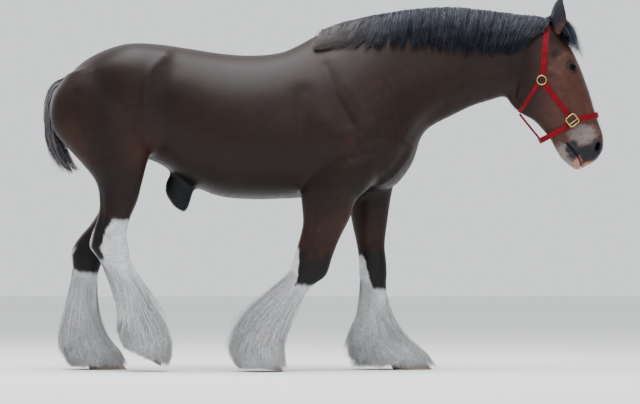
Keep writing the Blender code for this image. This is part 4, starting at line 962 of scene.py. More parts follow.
def makeMane(material):
    s = maneSettings
    draw, c, p, k, f = hairStart(s, 71)
    rows = curveThrough(np.vstack([trunkSections, headSections[1:3]]), 8)[:-8]
    share = (np.arange(c) + draw.uniform(0.0, 1.0, c)) / c
    crest = s["start"] + (s["end"] - s["start"]) * share
    slant = np.interp(crest, *maneSlant) * draw.uniform(0.7, 1.15, c) + draw.normal(0, 0.012, c)
    layer = draw.uniform(0.1, 1.0, c)
    dx = draw.normal(0, 0.014, (c, p))[..., None]
    lengthen = (draw.uniform(0.70, 1.08, c)[:, None] * draw.uniform(0.86, 1.06, (c, p)))[..., None]
    x = crest[:, None, None] + dx * (1 - 0.45 * f) - slant[:, None, None] * f * lengthen
    x = x + draw.normal(0, 0.006, (c, p, 1)) * f ** 2 + 0.004 * np.sin(f * 5 + draw.uniform(0, 6.3, (c, 1, 1)))
    x = np.clip(x, -0.075, 1.262)
    high = rows[:, 0]
    order = np.argsort(high)
    level = np.interp(x, high[order], order / (len(rows) - 1))
    row = rowAt(rows, level)
    reach = (row[..., 1] - row[..., 3]) * (1 - row[..., 6])
    full = row[..., 1] - np.interp(x, *maneEdge)
    drop = np.maximum(0.0, full) * f * lengthen * (1 - 0.5 * (1 - f) ** 4)
    angle = -np.arccos(np.clip(1 - drop / reach, 0, 1) ** (row[..., 7] / 2))
    lean = s["lean"] * (1 - f) ** 2.5 * draw.uniform(-1, 0.05, (c, p, 1))
    skin = sectionPoint(row, angle - lean)
    out = unit(skin - middleOf(rows, level))
    depth = (layer[:, None] * 0.6 + draw.uniform(0, 0.4, (c, p)))[..., None]
    lift = 0.002 + (0.005 + 0.019 * depth) * (1 - 0.35 * f) \
        * np.sin(np.minimum(1, f * 1.6 + 0.12) * math.pi * 0.62)
    lift = lift + 0.008 * step(1.10, 1.18, x) * step(0.0, 0.3, f)
    lift = lift + 0.010 * draw.uniform(0, 1, (c, 1, 1)) ** 3 * np.sin(np.minimum(1, f * 2.2) * math.pi)
    lift = np.where(f == 0, -0.006, lift * (0.25 + 0.75 * step(0.0, 0.40, f)))
    n = c * p
    paths = waved((skin + out * lift[..., None]).reshape(n, k, 3), s)
    halves = lockHalves(s, draw)
    dark, pale, tan = shadesOf(s)
    clumpShade = np.repeat(draw.uniform(0.7, 1.25, c), p)[:, None]
    # the pale colour is painted sheen: on roots along the crest, and in a few streaks out to the tips
    crestSheen = step(0.1, 0.9, draw.uniform(0, 1, n))[:, None]
    root = blend(dark, pale, s["palest"] * crestSheen)
    tip = blend(dark, pale, step(0.84, 0.98, draw.uniform(0, 1, n))[:, None] * s["streak"]) * clumpShade
    early = (1 - step(0.10, 0.30, np.repeat(share, p)))[:, None] * draw.uniform(0, 1, (n, 1))
    colours = hairColour(root, blend(tip, tan, s["tan"] * early), draw, k, 0.14, 0.30)
    colours[:, :2] *= np.array(s["quiet"])[None, :, None]
    addHair("mane", paths, out.reshape(n, k, 3), halves, colours, material)


# The forelock's dark is blue-tinted as painted sky reflection, and its tips run towards the pale grey as painted
# sheen
forelockSettings = {
    "clumps": 60, "perClump": 18, "points": 8, "halfWidth": 0.0015, "widest": 1.3, "wave": (0.006, 0.07, 61),
    "colours": ("#12141f", "#5a5c69"), "height": 0.066,
}


def nearest(tree, points):
    # The nearest places of the skin, and the ways it faces there
    hits = [tree.find_nearest(Vector(point)) for point in points]
    return np.array([hit[0] for hit in hits]), np.array([hit[1] for hit in hits])


def makeForelock(material, tree):
    # From between the ears over the forehead, standing off it in the middle and coming back at the tips
    s = forelockSettings
    draw, c, p, k, f = hairStart(s, 13)
    f, n = f[0], c * p
    side = np.repeat(draw.normal(0, 0.020, c), p) + draw.normal(0, 0.008, n)
    start = np.stack([draw.uniform(1.215, 1.300, n), side, np.full(n, 1.95)], 1)
    aimX = np.repeat(1.378 + draw.normal(0, 0.028, c), p) + draw.normal(0, 0.006, n)
    aimZ = np.repeat(1.778 + draw.normal(0, 0.040, c), p) + draw.normal(0, 0.012, n)
    end = np.stack([aimX, side * 2.2 - 0.014, aimZ], 1)
    line = start[:, None] + (end - start)[:, None] * f[..., None]
    place, outs = (v.reshape(n, k, 3) for v in nearest(tree, line.reshape(-1, 3)))
    high = np.repeat(draw.uniform(0.05, 1.0, c), p) * draw.uniform(0.8, 1.15, n)
    lift = 0.003 + s["height"] * high[:, None] * np.sin(np.minimum(1, f * 1.1 + 0.10) * math.pi * 0.72)
    fly = (draw.uniform(0, 1, n) > 0.93)[:, None] * 0.030 * f ** 2
    lift = np.where(f == 0, -0.006, lift + fly)
    paths = waved(place + outs * lift[..., None], s)
    halves = lockHalves(s, draw)
    dark, pale = shadesOf(s)
    root = np.tile(dark, (n, 1))
    # tips lighter by a random share of the pale grey: painted sheen
    tip = dark + (pale - dark) * draw.uniform(0, 0.8, (n, 1)) ** 1.5
    addHair("forelock", paths, outs, halves, hairColour(root, tip, draw, k, 0.2), material)

# The tail's pale grey is painted sheen on black hair, stronger towards the tips
tailSettings = {
    "clumps": 120, "perClump": 18, "points": 9, "halfWidth": 0.0016, "widest": 1.3, "wave": (0.006, 0.09, 81),
    "colours": ("#232128", "#8d878a"), "sheenAtRoot": 0.4, "sheenAtTip": 0.75,
}


def makeTail(material):
    s = tailSettings
    draw, c, p, k, f = hairStart(s, 29)
    rows = curveThrough(tailSections, 8)
    start = draw.uniform(0.02, 0.48, c)
    stop = np.clip(start + draw.uniform(0.44, 0.74, c), 0.55, 1.03)
    turn = draw.uniform(-math.pi, math.pi, c) * 0.9
    layer = draw.uniform(0.25, 1.0, c)
    level = (start[:, None, None] + draw.normal(0, 0.02, (c, p, 1))) * (1 - f) \
        + (stop[:, None, None] + draw.normal(0, 0.045, (c, p, 1))) * f
    angle = turn[:, None, None] + draw.normal(0, 0.35, (c, p, 1)) * (1 - 0.6 * f) \
        + 0.2 * np.sin(f * 4 + turn[:, None, None])
    surface = onRows(rows, level, angle)
    middle = middleOf(rows, level)
    depth = np.clip(layer[:, None, None] + draw.normal(0, 0.12, (c, p, 1)), 0.1, 1.06)
    spread = (0.22 + 0.78 * np.minimum(1, f * 2.2) ** 0.8) * depth
    paths = middle + (surface - middle) * spread[..., None]
    n = c * p
    paths, middle = waved(paths.reshape(n, k, 3), s), middle.reshape(n, k, 3)
    out = unit(paths - middle + 1e-5)
    halves = lockHalves(s, draw)
    dark, pale = shadesOf(s)
    # locks picked at random take the pale grey as painted sheen, more of it at the tip
    sheenLocks = step(0.2, 0.95, draw.uniform(0, 1, n))[:, None]
    root, tip = blend(dark, pale, s["sheenAtRoot"] * sheenLocks), blend(dark, pale, s["sheenAtTip"] * sheenLocks)
    colours = hairColour(root, tip, draw, k, 0.18)
    addHair("tailHair", paths, out, halves, colours, material, ["tail"])


furSettings = {
    "pieces": 3,
    "perPiece": 13500,
    "points": 3,
    "length": (0.010, 0.024),
    "halfWidth": 0.00055,
    "lift": 0.0005,
    "sunk": 0.0009,               # how deep the root lies
    "bare": (0.042, 0.034),       # how far the tufts stay away from the eye and from the nostril
}


def makeFur(points, quads, normals, material):
    # Random spots on the skin, more of them where the form turns or folds, each with a short flat tuft
    s = furSettings
    draw = np.random.default_rng(97)
    corner = points[quads]
    area = np.linalg.norm(np.cross(corner[:, 2] - corner[:, 0], corner[:, 3] - corner[:, 1]), axis=1)
    centre = corner.mean(1)
    x, z = centre[:, 0], centre[:, 2]
    up = normals[quads[:, 0]][:, 2]
    breast = step(0.25, 0.5, x) * (1 - step(0.8, 1.0, x)) * (z < 1.5)
    belly = (up < -0.3) * (z > 0.85)
    rear = step(-1.2, -1.35, x)
    folds = np.zeros(len(x))
    for path, radius, _ in forms:
        folds = np.maximum(folds, hump(pathDistance(centre, path), 0, radius * 1.5))
    keep = np.where(z < 0.40, 0.0, 1.0) * (0.7 + 1.0 * belly + 0.8 * breast + 0.8 * rear + 0.7 * folds)
    keep = keep * (1 + 0.6 * step(1.05, 1.2, x))
    nearEye = np.minimum(*(np.linalg.norm(centre - eyePlace(a)[0], axis=1) for a in (-1, 1)))
    hole = np.hypot(x - headDetail["nostril"][0], z - headDetail["nostril"][1])
    keep = keep * (nearEye > s["bare"][0]) * (hole > s["bare"][1])
    chance = area * keep
    total = s["pieces"] * s["perPiece"]
    pick = draw.choice(len(quads), total, p=chance / chance.sum())
    a, b = draw.uniform(0, 1, (2, total, 1))
    q = corner[pick]
    place = (q[:, 0] * (1 - a) + q[:, 1] * a) * (1 - b) + (q[:, 3] * (1 - a) + q[:, 2] * a) * b
    n = unit(normals[quads[pick]].mean(1))
    way = coatLie(place) + 0.09 * draw.normal(size=(total, 3))
    way = unit(way - (way * n).sum(1, keepdims=True) * n)
    small = 1 - 0.60 * step(1.05, 1.25, place[:, 0]) - 0.15 * (place[:, 2] < 0.8)
    under = step(-0.2, -0.8, n[:, 2]) * (place[:, 2] > 0.85)
    chin = step(1.26, 1.30, place[:, 0]) * step(1.22, 1.16, place[:, 2]) * step(1.39, 1.36, place[:, 0])
    length = draw.uniform(*s["length"], total) * small * (1 + 0.5 * under + 1.3 * chin)
    k = s["points"]
    f = np.linspace(0, 1, k)[None, :, None]
    lift = s["lift"] * (0.3 + draw.uniform(0, 1, total)) + 0.0012 * under
    lift = lift + 0.010 * chin * draw.uniform(0, 1, total)
    paths = place[:, None] + way[:, None] * length[:, None, None] * f \
        + n[:, None] * (-s["sunk"] + (lift[:, None, None] + s["sunk"]) * f ** 1.2)
    halves = s["halfWidth"] * np.array([1.0, 0.9, 0.1])[None] * (0.4 + 0.6 * small[:, None]) \
        * draw.uniform(0.7, 1.2, (total, 1))
    colours = np.repeat(coatColour(place)[:, None], k, 1) * (1 + 0.12 * draw.normal(size=(total, 1, 1)))
    colours = np.clip(colours * np.array([1.0, 1.04, 1.10])[None, :, None], 0, 1)
    uv = coatUnwrap(place)
    for i in range(s["pieces"]):
        part = slice(i * s["perPiece"], (i + 1) * s["perPiece"])
        outs = np.repeat(n[part, None], k, 1)
        mesh = lockMesh("coat", paths[part], outs, halves[part], colours[part], 0.35, uv[part])
        addPiece(f"coatTufts{i + 1}", mesh, material)


# Ears

earSettings = {
    "width": 0.033,
    "depth": 0.055,
    "rim": 0.0040,
    "parts": 40,
    "arc": 22,
    "hairs": 240,
    "hairHalf": 0.0007,
    "colours": ("#17171c", "#2a2428"),      # the black of the upper part, and the hair inside
}


sideNames = {-1: "Right", 1: "Left"}


def makeEar(side, material, hairLook):
    # A leaf rolled into a cup: width times sin and depth times cos round it, narrowing to the tip
    s = earSettings
    base, tip = np.array([1.274, side * 0.054, 1.835]), np.array([1.312, side * 0.088, 2.054])
    axis = unit(tip - base)
    opening = np.array([0.97, side * 0.16, 0.0])
    opening = unit(opening - opening @ axis * axis)
    sideways = np.cross(axis, opening)
    t = np.linspace(0, 1, s["parts"])[:, None]
    width = s["width"] * (0.38 + 0.70 * np.sin(math.pi * np.minimum(1, t * 1.02 + 0.02))) * (1 - t**5) + 0.001
    spread = np.radians(150 - 75 * t)
    depth = s["depth"] * (0.34 + 0.66 * step(0.0, 0.45, t)) * (1 - t**4) ** 0.8 + 0.002
    thick = np.minimum(s["rim"] - 0.0022 * t, np.minimum(width, depth) * 0.45)
    centre = base + (tip - base) * t + opening * 0.013 * np.sin(math.pi * t)
    centre = centre - sideways * 0.004 * np.sin(math.pi * t) * side
    turn = np.linspace(-1, 1, s["arc"])[None] * spread
    outer, inner = (
        centre[:, None] - opening * (np.cos(turn) * (depth - inset))[..., None]
        + sideways * (np.sin(turn) * (width - inset))[..., None] for inset in (0.0, thick))
    ends = (slice(-1, None), slice(1))
    rim, otherRim = ((outer[:, end] + inner[:, end]) / 2 + opening * 0.0012 for end in ends)
    grid = np.concatenate([outer, rim, inner[:, ::-1], otherRim], 1)
    points = grid.reshape(-1, 3)
    ahead = (points - base) @ opening
    black = step(1.84, 1.93, points[:, 2] - 1.2 * (ahead - 0.01) + 0.01 * wobble(points, 0.03, 6))
    dark, hair = shadesOf(s)
    shade = mix(np.tile(coatColours["face"], (len(points), 1)), dark, black)
    name = sideNames[side]
    tubePiece("ear" + name, grid, material, ["ear_" + name.lower()], shade)
    # soft hair inside the cup and along its rim
    draw = np.random.default_rng(17 + side)
    n, k = s["hairs"], 5
    tt = draw.uniform(0.02, 0.75, n)
    edge = np.where(draw.uniform(0, 1, n) < 0.5, -1, 1) * draw.uniform(0.72, 1.0, n)
    row = np.clip((tt * (s["parts"] - 1)).astype(int), 0, s["parts"] - 1)
    column = ((edge + 1) / 2 * (s["arc"] - 1)).astype(int)
    root = inner[row, column]
    way = unit(axis * 0.9 + opening * 0.5 - sideways * 0.5 * edge[:, None] + 0.2 * draw.normal(size=(n, 3)))
    f = np.linspace(0, 1, k)[None, :, None]
    paths = root[:, None] + way[:, None] * (draw.uniform(0.010, 0.024, n)[:, None, None] * f)
    outs = np.repeat(unit(opening + 0.2 * draw.normal(size=(n, 3)))[:, None], k, 1)
    halves = np.tile(s["hairHalf"] * taper(k), (n, 1))
    colour = np.tile(hair, (n, 1))
    addHair("earHair" + name, paths, outs, halves, hairColour(colour, colour * 1.6, draw, k), hairLook,
            flatness=0.6)


# Eyes

eyeSettings = {
    "cornea": 0.045,        # how far it stands out, in radii of the ball
    "iris": (0.62, 0.52),   # half sizes of the iris and the pupil, in radii of the ball
    "pupil": (0.40, 0.20),
    "lashes": 70,
    "lashLength": 0.014,
    "lashHalf": 0.0005,
    # iris, the ball beside it, pupil, edge of the lids, the pale roll of the lower lid, lashes
    "colours": ("#080403", "#050404", "#010102", "#0b0505", "#54433d", "#17151a"),
}
# The section of a lid's roll: share of the opening, then distance from the eye's centre in radii of the ball
lidProfile = np.array([
    (0.88, 0.98), (0.91, 1.030), (0.97, 1.060), (1.04, 1.072), (1.14, 1.070), (1.24, 1.062),
    (1.34, 1.072), (1.50, 1.090), (1.72, 1.110), (1.98, 1.120), (2.20, 1.080), (1.9, 0.86), (1.2, 0.80),
])


def makeEye(side, material, lidMaterial, hairLook):
    centre, radius = eyePlace(side)
    out, long, up = eyeAxes(side)
    name = sideNames[side]
    s = eyeSettings
    iris, white, pupil, rim, roll, lash = shadesOf(s)
    polar, turn = np.meshgrid(np.linspace(0.02, math.pi - 0.02, 28), circle(48), indexing="ij")
    bulge = radius * (1 + s["cornea"] * hump(polar, 0, 0.5))
    local = np.stack([np.sin(polar) * np.cos(turn), np.sin(polar) * np.sin(turn), np.cos(polar)], -1)
    local *= bulge[..., None]
    flat = local.reshape(-1, 3) / radius
    beside, inPupil = (np.hypot(*(flat[:, :2] / s[part]).T) for part in ("iris", "pupil"))
    shade = mix(np.tile(iris, (len(flat), 1)), white, step(0.95, 1.1, beside))
    shade = mix(shade, pupil, step(1.05, 0.85, inPupil))
    axes = np.array([long, up, out])
    tubePiece("eye" + name, centre + local @ axes, material, ["eye_" + name.lower()], shade)
    # lids: a roll round the almond opening, from the ball out to the skin
    t = circle(72)
    a, b = headDetail["lidOpening"]
    edge = np.stack([np.cos(t), np.sin(t) * np.abs(np.sin(t)) ** 0.35], 1)
    top = edge[:, 1] > 0
    share = lidProfile[:, 0][None]
    fold = 1 + (0.055 * hump(share, 1.12, 0.13) - 0.02 * hump(share, 1.36, 0.07)) * top[:, None]
    reach = lidProfile[:, 1][None] * fold * radius
    sx, sy = edge[:, :1] * a * share, edge[:, 1:] * b * share
    sy = sy * np.where(top, 1.05, 0.92)[:, None]
    flatR = np.minimum(np.hypot(sx, sy), reach * 0.96)
    scale = flatR / np.maximum(1e-6, np.hypot(sx, sy))
    sx, sy = sx * scale, sy * scale
    depth = np.sqrt(np.maximum(0, reach ** 2 - sx ** 2 - sy ** 2))
    grid = centre + np.stack([sx, sy, depth], -1) @ axes
    rimDark = np.tile(1 - step(1.05, 1.75, lidProfile[:, 0]), len(t))
    lower = np.repeat(step(0.2, 0.8, -edge[:, 1]), len(lidProfile))
    light = np.tile(hump(lidProfile[:, 0], 1.24, 0.12), len(t)) * lower
    shade = mix(mix(coatColour(grid.reshape(-1, 3)), rim, rimDark), roll, 0.55 * light)
    tubePiece("lids" + name, grid, lidMaterial, colours=shade, closed=True)
    draw = np.random.default_rng(5 + side)
    n, k = s["lashes"], 5
    tt = draw.uniform(0.15 * math.pi, 0.92 * math.pi, n)
    ex, ey = np.cos(tt) * a * 0.95, np.sin(tt) ** 1.35 * b * 1.02
    root = centre + ex[:, None] * long + ey[:, None] * up \
        + np.sqrt(np.maximum(0, (radius * 1.09) ** 2 - ex ** 2 - ey ** 2))[:, None] * out
    way = unit(out * 0.9 - up * 0.35 + long * (ex / a * 0.4)[:, None] + 0.1 * draw.normal(size=(n, 3)))
    f = np.linspace(0, 1, k)[None, :, None]
    paths = root[:, None] + way[:, None] * s["lashLength"] * f + up * 0.004 * f ** 2
    halves = np.tile(s["lashHalf"] * taper(k), (n, 1))
    colour = np.tile(lash, (n, 1))
    addHair("lashes" + name, paths, np.tile(up, (n, k, 1)), halves, hairColour(colour, colour, draw, k), hairLook,
            flatness=0.8)


# Hooves

hoofSettings = {
    "sides": 72,
    "wall": 22,             # rings of the wall
    "growth": 0.0009,       # height of the growth rings
    "band": 0.004,          # height of the coronet's roll
    "frog": 0.008,
    "colours": ("#a08d80", "#75675c"),      # horn, and the dirt low on it
}
# Rings of the underside: share of the sole's outline, and height over it
soleProfile = ((0.985, -0.0002), (0.90, 0.0), (0.86, 0.004), (0.55, 0.010), (0.25, 0.012), (0.02, 0.012))


def makeHoof(name, material):
    # The wall goes straight from the coronet to the sole, with growth rings, then in under a concave sole
    s = hoofSettings
    sides, wall = s["sides"], s["wall"]
    turn = circle(sides)
    ends = legSections[name][1][-1], soleSections[name]
    high, low = (sectionPoint(np.tile(row, (sides, 1)), turn) for row in ends)
    t = np.linspace(0, 1, wall)[:, None, None]
    middle = high.mean(0) * (1 - t) + low.mean(0) * t
    line = (high * 0.97 + high.mean(0) * 0.03)[None] * (1 - t) + low[None] * t
    rings = s["growth"] * np.sin(t * 46 + 0.6 * np.sin(turn * 3)[None, :, None]) * np.minimum(1, t * 6)
    band = s["band"] * hump(t, 0.06, 0.05)
    line = line + unit(line - middle) * (rings + band)
    centre = low.mean(0)
    inward = unit(high.mean(0) - centre)
    inner = [centre + (low - centre) * share + inward * rise for share, rise in soleProfile]
    points = np.concatenate([line, np.array(inner)], 0)
    frog = step(0.5, 0.0, np.abs(points[wall + 1:, :, 1] - centre[1]) / 0.035)
    back = step(0.02, -0.03, points[wall + 1:, :, 0] - centre[0])
    points[wall + 1:] -= (inward * s["frog"]) * (frog * back)[..., None]
    points[..., 2] = np.maximum(points[..., 2], 0.0)
    flat = points.reshape(-1, 3)
    level = np.repeat(np.linspace(0, 1, len(points)), sides)
    dirt = 0.6 * step(0.35, 0.8, level) + 0.25 * wobble(flat, 0.03, 3).clip(0, 1)
    pale, dirty = shadesOf(s)
    shade = mix(np.tile(pale, (len(flat), 1)), dirty, dirt)
    tubePiece("hoof" + name[0].upper() + name[1:], points, material,
              ["hoof_" + cadLegNames[name]], shade)


# Halter

halterSizes = {
    "thick": 0.0035,        # of the webbing
    "lift": 0.0042,         # middle of the webbing over the skin
    "crown": 0.033,
    "throat": 0.021,
    "cheek": 0.032,
    "nose": 0.030,
    "chin": 0.030,
    "cord": 0.006,          # radius
    "ring": (0.025, 0.0029),      # radius, and radius of its wire
    "square": (0.029, 0.0030),
    "bar": 0.0024,
}
leftward = np.array([0, 1.0, 0])


def makeBand(name, centres, ups, outs, material, replaces):
    # A rounded band along a middle line: across by cos of power 0.3, and out by sin of power 0.5
    width, angle = halterSizes[replaces.split("_")[1]], circle(20) + math.pi / 20
    x = power(np.cos(angle), 0.30) * width / 2
    y = power(np.sin(angle), 0.50) * halterSizes["thick"] / 2
    grid = centres[:, None] + ups[:, None] * x[None, :, None] + outs[:, None] * y[None, :, None]
    # the weave's map: metres along the band, and metres across it
    run = np.concatenate([[0], np.cumsum(np.linalg.norm(np.diff(centres, axis=0), axis=1))])
    i, j = np.meshgrid(np.arange(len(run) - 1), np.arange(len(x)), indexing="ij")
    m = (j + 1) % len(x)
    uv = np.stack([np.stack([run[a], x[b]], -1) for a, b in ((i, j), (i + 1, j), (i + 1, m), (i, m))], 2)
    ends = [np.stack([np.full(len(x), r), x], -1)[None] for r in (run[0], run[-1])]
    tubePiece(name, grid, material, [replaces], uv=[uv, *ends])


def castSide(tree, x, z, side):
    # Where a line from one side meets the skin, and the way the skin faces there
    place, normal, _, _ = tree.ray_cast(Vector((x, side * 0.5, z)), Vector((0, -side, 0)))
    return np.array(place), np.array(normal)


def smoothed(values, rounds=2):
    for _ in range(rounds):
        inner = (values[:-2] + 2 * values[1:-1] + values[2:]) / 4
        values = np.concatenate([values[:1], inner, values[-1:]])
    return values


def girthBand(name, tree, centre, forward, reach, material, replaces, steps=64):
    # Round the head in one plane: rays from outside, aimed at a centre, find the skin
    forward = unit(np.array(forward, float))
    turn = np.radians(np.linspace(-reach, reach, steps))
    outs = np.cos(turn)[:, None] * forward + np.sin(turn)[:, None] * leftward
    middle = np.array([tree.ray_cast(Vector(centre + o * 0.4), Vector(-o))[0] for o in outs])
    ups = np.tile(np.cross(forward, leftward), (steps, 1))
    makeBand(name, smoothed(middle) + outs * halterSizes["lift"], ups, outs, material, replaces)


def cheekBand(name, tree, side, start, end, material, replaces, steps=28):
    one, other = castSide(tree, *start, side)[0], castSide(tree, *end, side)[0]
    places, outs = nearest(tree, one + (other - one) * np.linspace(0, 1, steps)[:, None])
    places, outs = smoothed(places, 3), unit(smoothed(outs, 3))
    ups = unit(np.cross(np.gradient(places, axis=0), outs))
    makeBand(name, places + outs * (halterSizes["lift"] + 0.0003), ups, outs, material, replaces)


def wirePiece(name, centres, radius, material, replaces, sides=14):
    # A round wire along a closed path: centre + (out cos a + normal sin a) * radius
    ahead = unit(np.roll(centres, -1, 0) - np.roll(centres, 1, 0))
    middle = centres.mean(0)
    normal = unit(np.cross(centres[len(centres) // 4] - middle, centres[0] - middle))
    out, a = np.cross(ahead, normal), circle(sides)
    a = a[None, :, None]
    grid = centres[:, None] + (out[:, None] * np.cos(a) + normal * np.sin(a)) * radius
    tubePiece(name, grid, material, [replaces], closed=True)


def rodPiece(name, centres, one, two, radius, sides, material, replaces=()):
    a = circle(sides)[:, None]
    grid = centres[:, None] + ((one * np.cos(a) + two * np.sin(a)) * radius)[None]
    tubePiece(name, grid, material, replaces)


def ringPath(centre, normal, long, size, square=1.0, count=64):
    # A circle, or with powers of its cosine and sine a square with round corners
    t = circle(count)
    x, y = power(np.cos(t), square), power(np.sin(t), square)
    return centre + (long * x[:, None] + np.cross(normal, long) * y[:, None]) * size


def fitting(tree, x, z, side, lift, along):
    # Centre, normal and long way of a brass piece that lies on the cheek
    place, normal = castSide(tree, x, z, side)
    normal, along = unit(normal), np.array(along)
    return place + normal * lift, normal, unit(along - along @ normal * normal)


def makeHalter(tree, web, brass):
    s = halterSizes
    for side, name in sideNames.items():
        low = name.lower()
        size, wire = s["ring"]
        path = ringPath(*fitting(tree, 1.192, 1.587, side, 0.010, (0.1, 0, 1.0)), size)
        wirePiece("halterRing" + name, path, wire, brass, "halter_ring_" + low)
        size, wire = s["square"]
        centre, normal, along = fitting(tree, 1.360, 1.371, side, 0.011, (0.62, 0, -0.785))
        wirePiece("halterSquare" + name, ringPath(centre, normal, along, size, 0.42), wire,
                  brass, "halter_square_" + low)
        bar = centre + along * 0.010 + np.cross(normal, along) * size * np.linspace(-1, 1, 9)[:, None]
        rodPiece("halterBar" + name, bar, along, normal, s["bar"], 10, brass)
        cheekBand("halterCheek" + name, tree, side, (1.204, 1.568), (1.343, 1.395), web, "halter_cheek_" + low)
    for name, centre, forward, reach in (
        ("Crown", (1.196, 0, 1.615), (0.10, 0, 0.995), 90),
        ("Throat", (1.174, 0, 1.570), (-0.537, 0, -0.844), 86),
        ("Nose", (1.388, 0, 1.374), (0.97, 0, 0.24), 86),
    ):
        girthBand("halter" + name, tree, centre, forward, reach, web, "halter_" + name.lower())
    # the chin band hangs in a bow from the nose band's ends to its lowest point
    back, front = np.array([1.186, 0, 1.258]), np.array([1.338, 0, 1.336])
    forward = unit(front - back)
    turn = np.linspace(-0.5, 0.5, 56) * math.pi
    along = np.linalg.norm(front - back) * (1 - np.abs(np.cos(turn)) ** 0.75)
    middle = back + forward * along[:, None] + leftward * (0.082 * power(np.sin(turn), 0.6))[:, None]
    outs = np.sin(turn)[:, None] * leftward - np.cos(turn)[:, None] * forward
    ups = np.tile(np.cross(forward, leftward), (56, 1))
    makeBand("halterChin", smoothed(middle, 6), ups, outs, web, "halter_chin")
    low, high = np.array([1.190, 0, 1.270]), np.array([1.078, 0, 1.408])
    centres = low + (high - low) * np.linspace(0, 1, 40)[:, None]
    other = np.cross(unit(high - low), leftward)
    rodPiece("halterCord", centres, leftward, other, s["cord"], 16, web, ["halter_cord"])


# Materials

def node(tree, kind, values=None, links=None, **settings):
    made = tree.nodes.new(kind)
    for name, value in settings.items():
        setattr(made, name, value)
    for name, value in (values or {}).items():
        made.inputs[name].default_value = value
    for name, source in (links or {}).items():
        tree.links.new(source, made.inputs[name])
    return made


def newMaterial(name, roughness, shine=0.5):
    made = bpy.data.materials.new(name)
    made.use_nodes = True
    shader = made.node_tree.nodes["Principled BSDF"]
    shader.inputs["Roughness"].default_value = roughness
    shader.inputs["Specular IOR Level"].default_value = shine
    return made, made.node_tree, shader


def noise(tree, scale, detail, stretch=None, **more):
    # Noise on the object's own coordinates, finer along the axes with the larger stretch
    source = node(tree, "ShaderNodeTexCoord").outputs["Object"]
    if stretch:
        source = node(tree, "ShaderNodeMapping", {"Scale": stretch}, {"Vector": source}).outputs[0]
    values = {"Scale": scale, "Detail": detail, **more}
    return node(tree, "ShaderNodeTexNoise", values, {"Vector": source}).outputs[0]


def ranged(tree, source, low, high, start=0.3, end=0.7):
    return node(tree, "ShaderNodeMapRange", {1: start, 2: end, 3: low, 4: high}, {0: source}).outputs[0]


def ramped(tree, source, low, high, start=0.0, end=1.0):
    # A colour between two hex colours
    made = node(tree, "ShaderNodeValToRGB", links={0: source})
    for stop, text, position in zip(made.color_ramp.elements, (low, high), (start, end)):
        stop.color, stop.position = (*hexColour(text), 1), position
    return made.outputs[0]


def paint(tree, shader, level=None, colour=None):
    # The base colour: another colour, or else the mesh's own "coat" colours, times a level
    source = colour or node(tree, "ShaderNodeAttribute", attribute_name="coat").outputs["Color"]
    if level:
        links = {0: source, "Scale": level}
        source = node(tree, "ShaderNodeVectorMath", operation="SCALE", links=links).outputs[0]
    tree.links.new(source, shader.inputs["Base Color"])


def emboss(tree, shader, height, strength, distance):
    bump = node(tree, "ShaderNodeBump", {"Strength": strength, "Distance": distance}, {"Height": height})
    tree.links.new(bump.outputs[0], shader.inputs["Normal"])


def coatMaterial():
    # Short summer coat of a bay horse: flat glossy hair, so a soft sheen with fine streaks along the body
    made, tree, shader = newMaterial("short bay horse coat, groomed", 0.42, 0.17)
    along, down = (noise(tree, 1.0, 4.0, stretch, Roughness=0.6) for stretch in ((60, 420, 420), (420, 420, 60)))
    height = node(tree, "ShaderNodeSeparateXYZ", links={0: node(tree, "ShaderNodeTexCoord").outputs["Object"]})
    legs = ranged(tree, height.outputs["Z"], 1.0, 0.0, 0.8, 1.2)
    both = node(tree, "ShaderNodeMix", data_type="FLOAT", links={0: legs, 2: along, 3: down}).outputs[0]
    # locks: patches of the hair's lie, which raise the bump and, in the colour, make a painted sheen a shade
    # lighter and darker
    locks = noise(tree, 1.0, 3.0, (22, 95, 95), Distortion=0.4)
    level = node(tree, "ShaderNodeMath", operation="MULTIPLY",
                 links={0: ranged(tree, both, 0.70, 1.34), 1: ranged(tree, locks, 0.87, 1.14)})
    raised = node(tree, "ShaderNodeMath", operation="ADD", links={0: both, 1: locks})
    paint(tree, shader, level.outputs[0])
    emboss(tree, shader, raised.outputs[0], 0.42, 0.0012)
    return made


def hairMaterial(name, roughness, grain):
    # Washed and combed hair: locks of one colour each, a shade lighter and darker along them, with little shine
    made, tree, shader = newMaterial(name, roughness, 0.12)
    paint(tree, shader, ranged(tree, noise(tree, grain, 2.0), 0.85, 1.15))
    return made


def eyeMaterial():
    # A wet eyeball: dark iris and pupil on a smooth, glossy surface, with one sharp glint
    made, tree, shader = newMaterial("wet horse eye", 0.08, 0.10)
    paint(tree, shader)
    return made


def hornMaterial():
    # Pale hoof horn, rasped and worn, with growth rings in the mesh and fine streaks down the wall
    made, tree, shader = newMaterial("pale hoof horn, worn", 0.5)
    streak = noise(tree, 1.0, 5.0, (300, 300, 30))
    paint(tree, shader, ranged(tree, streak, 0.75, 1.2))
    emboss(tree, shader, streak, 0.4, 0.0008)
    return made


def webMaterial():
    # Woven nylon webbing, dyed red: ribs across it every 3 mm, so that they show, and faded where it rubs
    made, tree, shader = newMaterial("red nylon webbing, woven", 0.6, 0.10)
    weave = node(tree, "ShaderNodeUVMap", uv_map="weave")
    ribs = node(tree, "ShaderNodeTexWave", {"Scale": 105.0, "Distortion": 1.0, "Detail": 1.0},
                {"Vector": weave.outputs[0]}, bands_direction="X").outputs["Fac"]
    dye = ramped(tree, noise(tree, 40.0, 5.0), "#560310", "#7c0416", 0.3, 0.75)
    paint(tree, shader, ranged(tree, ribs, 0.78, 1.1, 0.0, 1.0), dye)
    emboss(tree, shader, ribs, 0.5, 0.0006)
    return made


def brassMaterial():
    # Cast and polished brass, dulled by handling
    made, tree, shader = newMaterial("cast brass, polished", 0.3)
    wear = noise(tree, 120.0, 4.0)
    paint(tree, shader, colour=ramped(tree, wear, "#a8843f", "#e3c987"))
    tree.links.new(ranged(tree, wear, 0.22, 0.42), shader.inputs["Roughness"])
    shader.inputs["Metallic"].default_value = 1.0
    return made


# Camera, floor and light

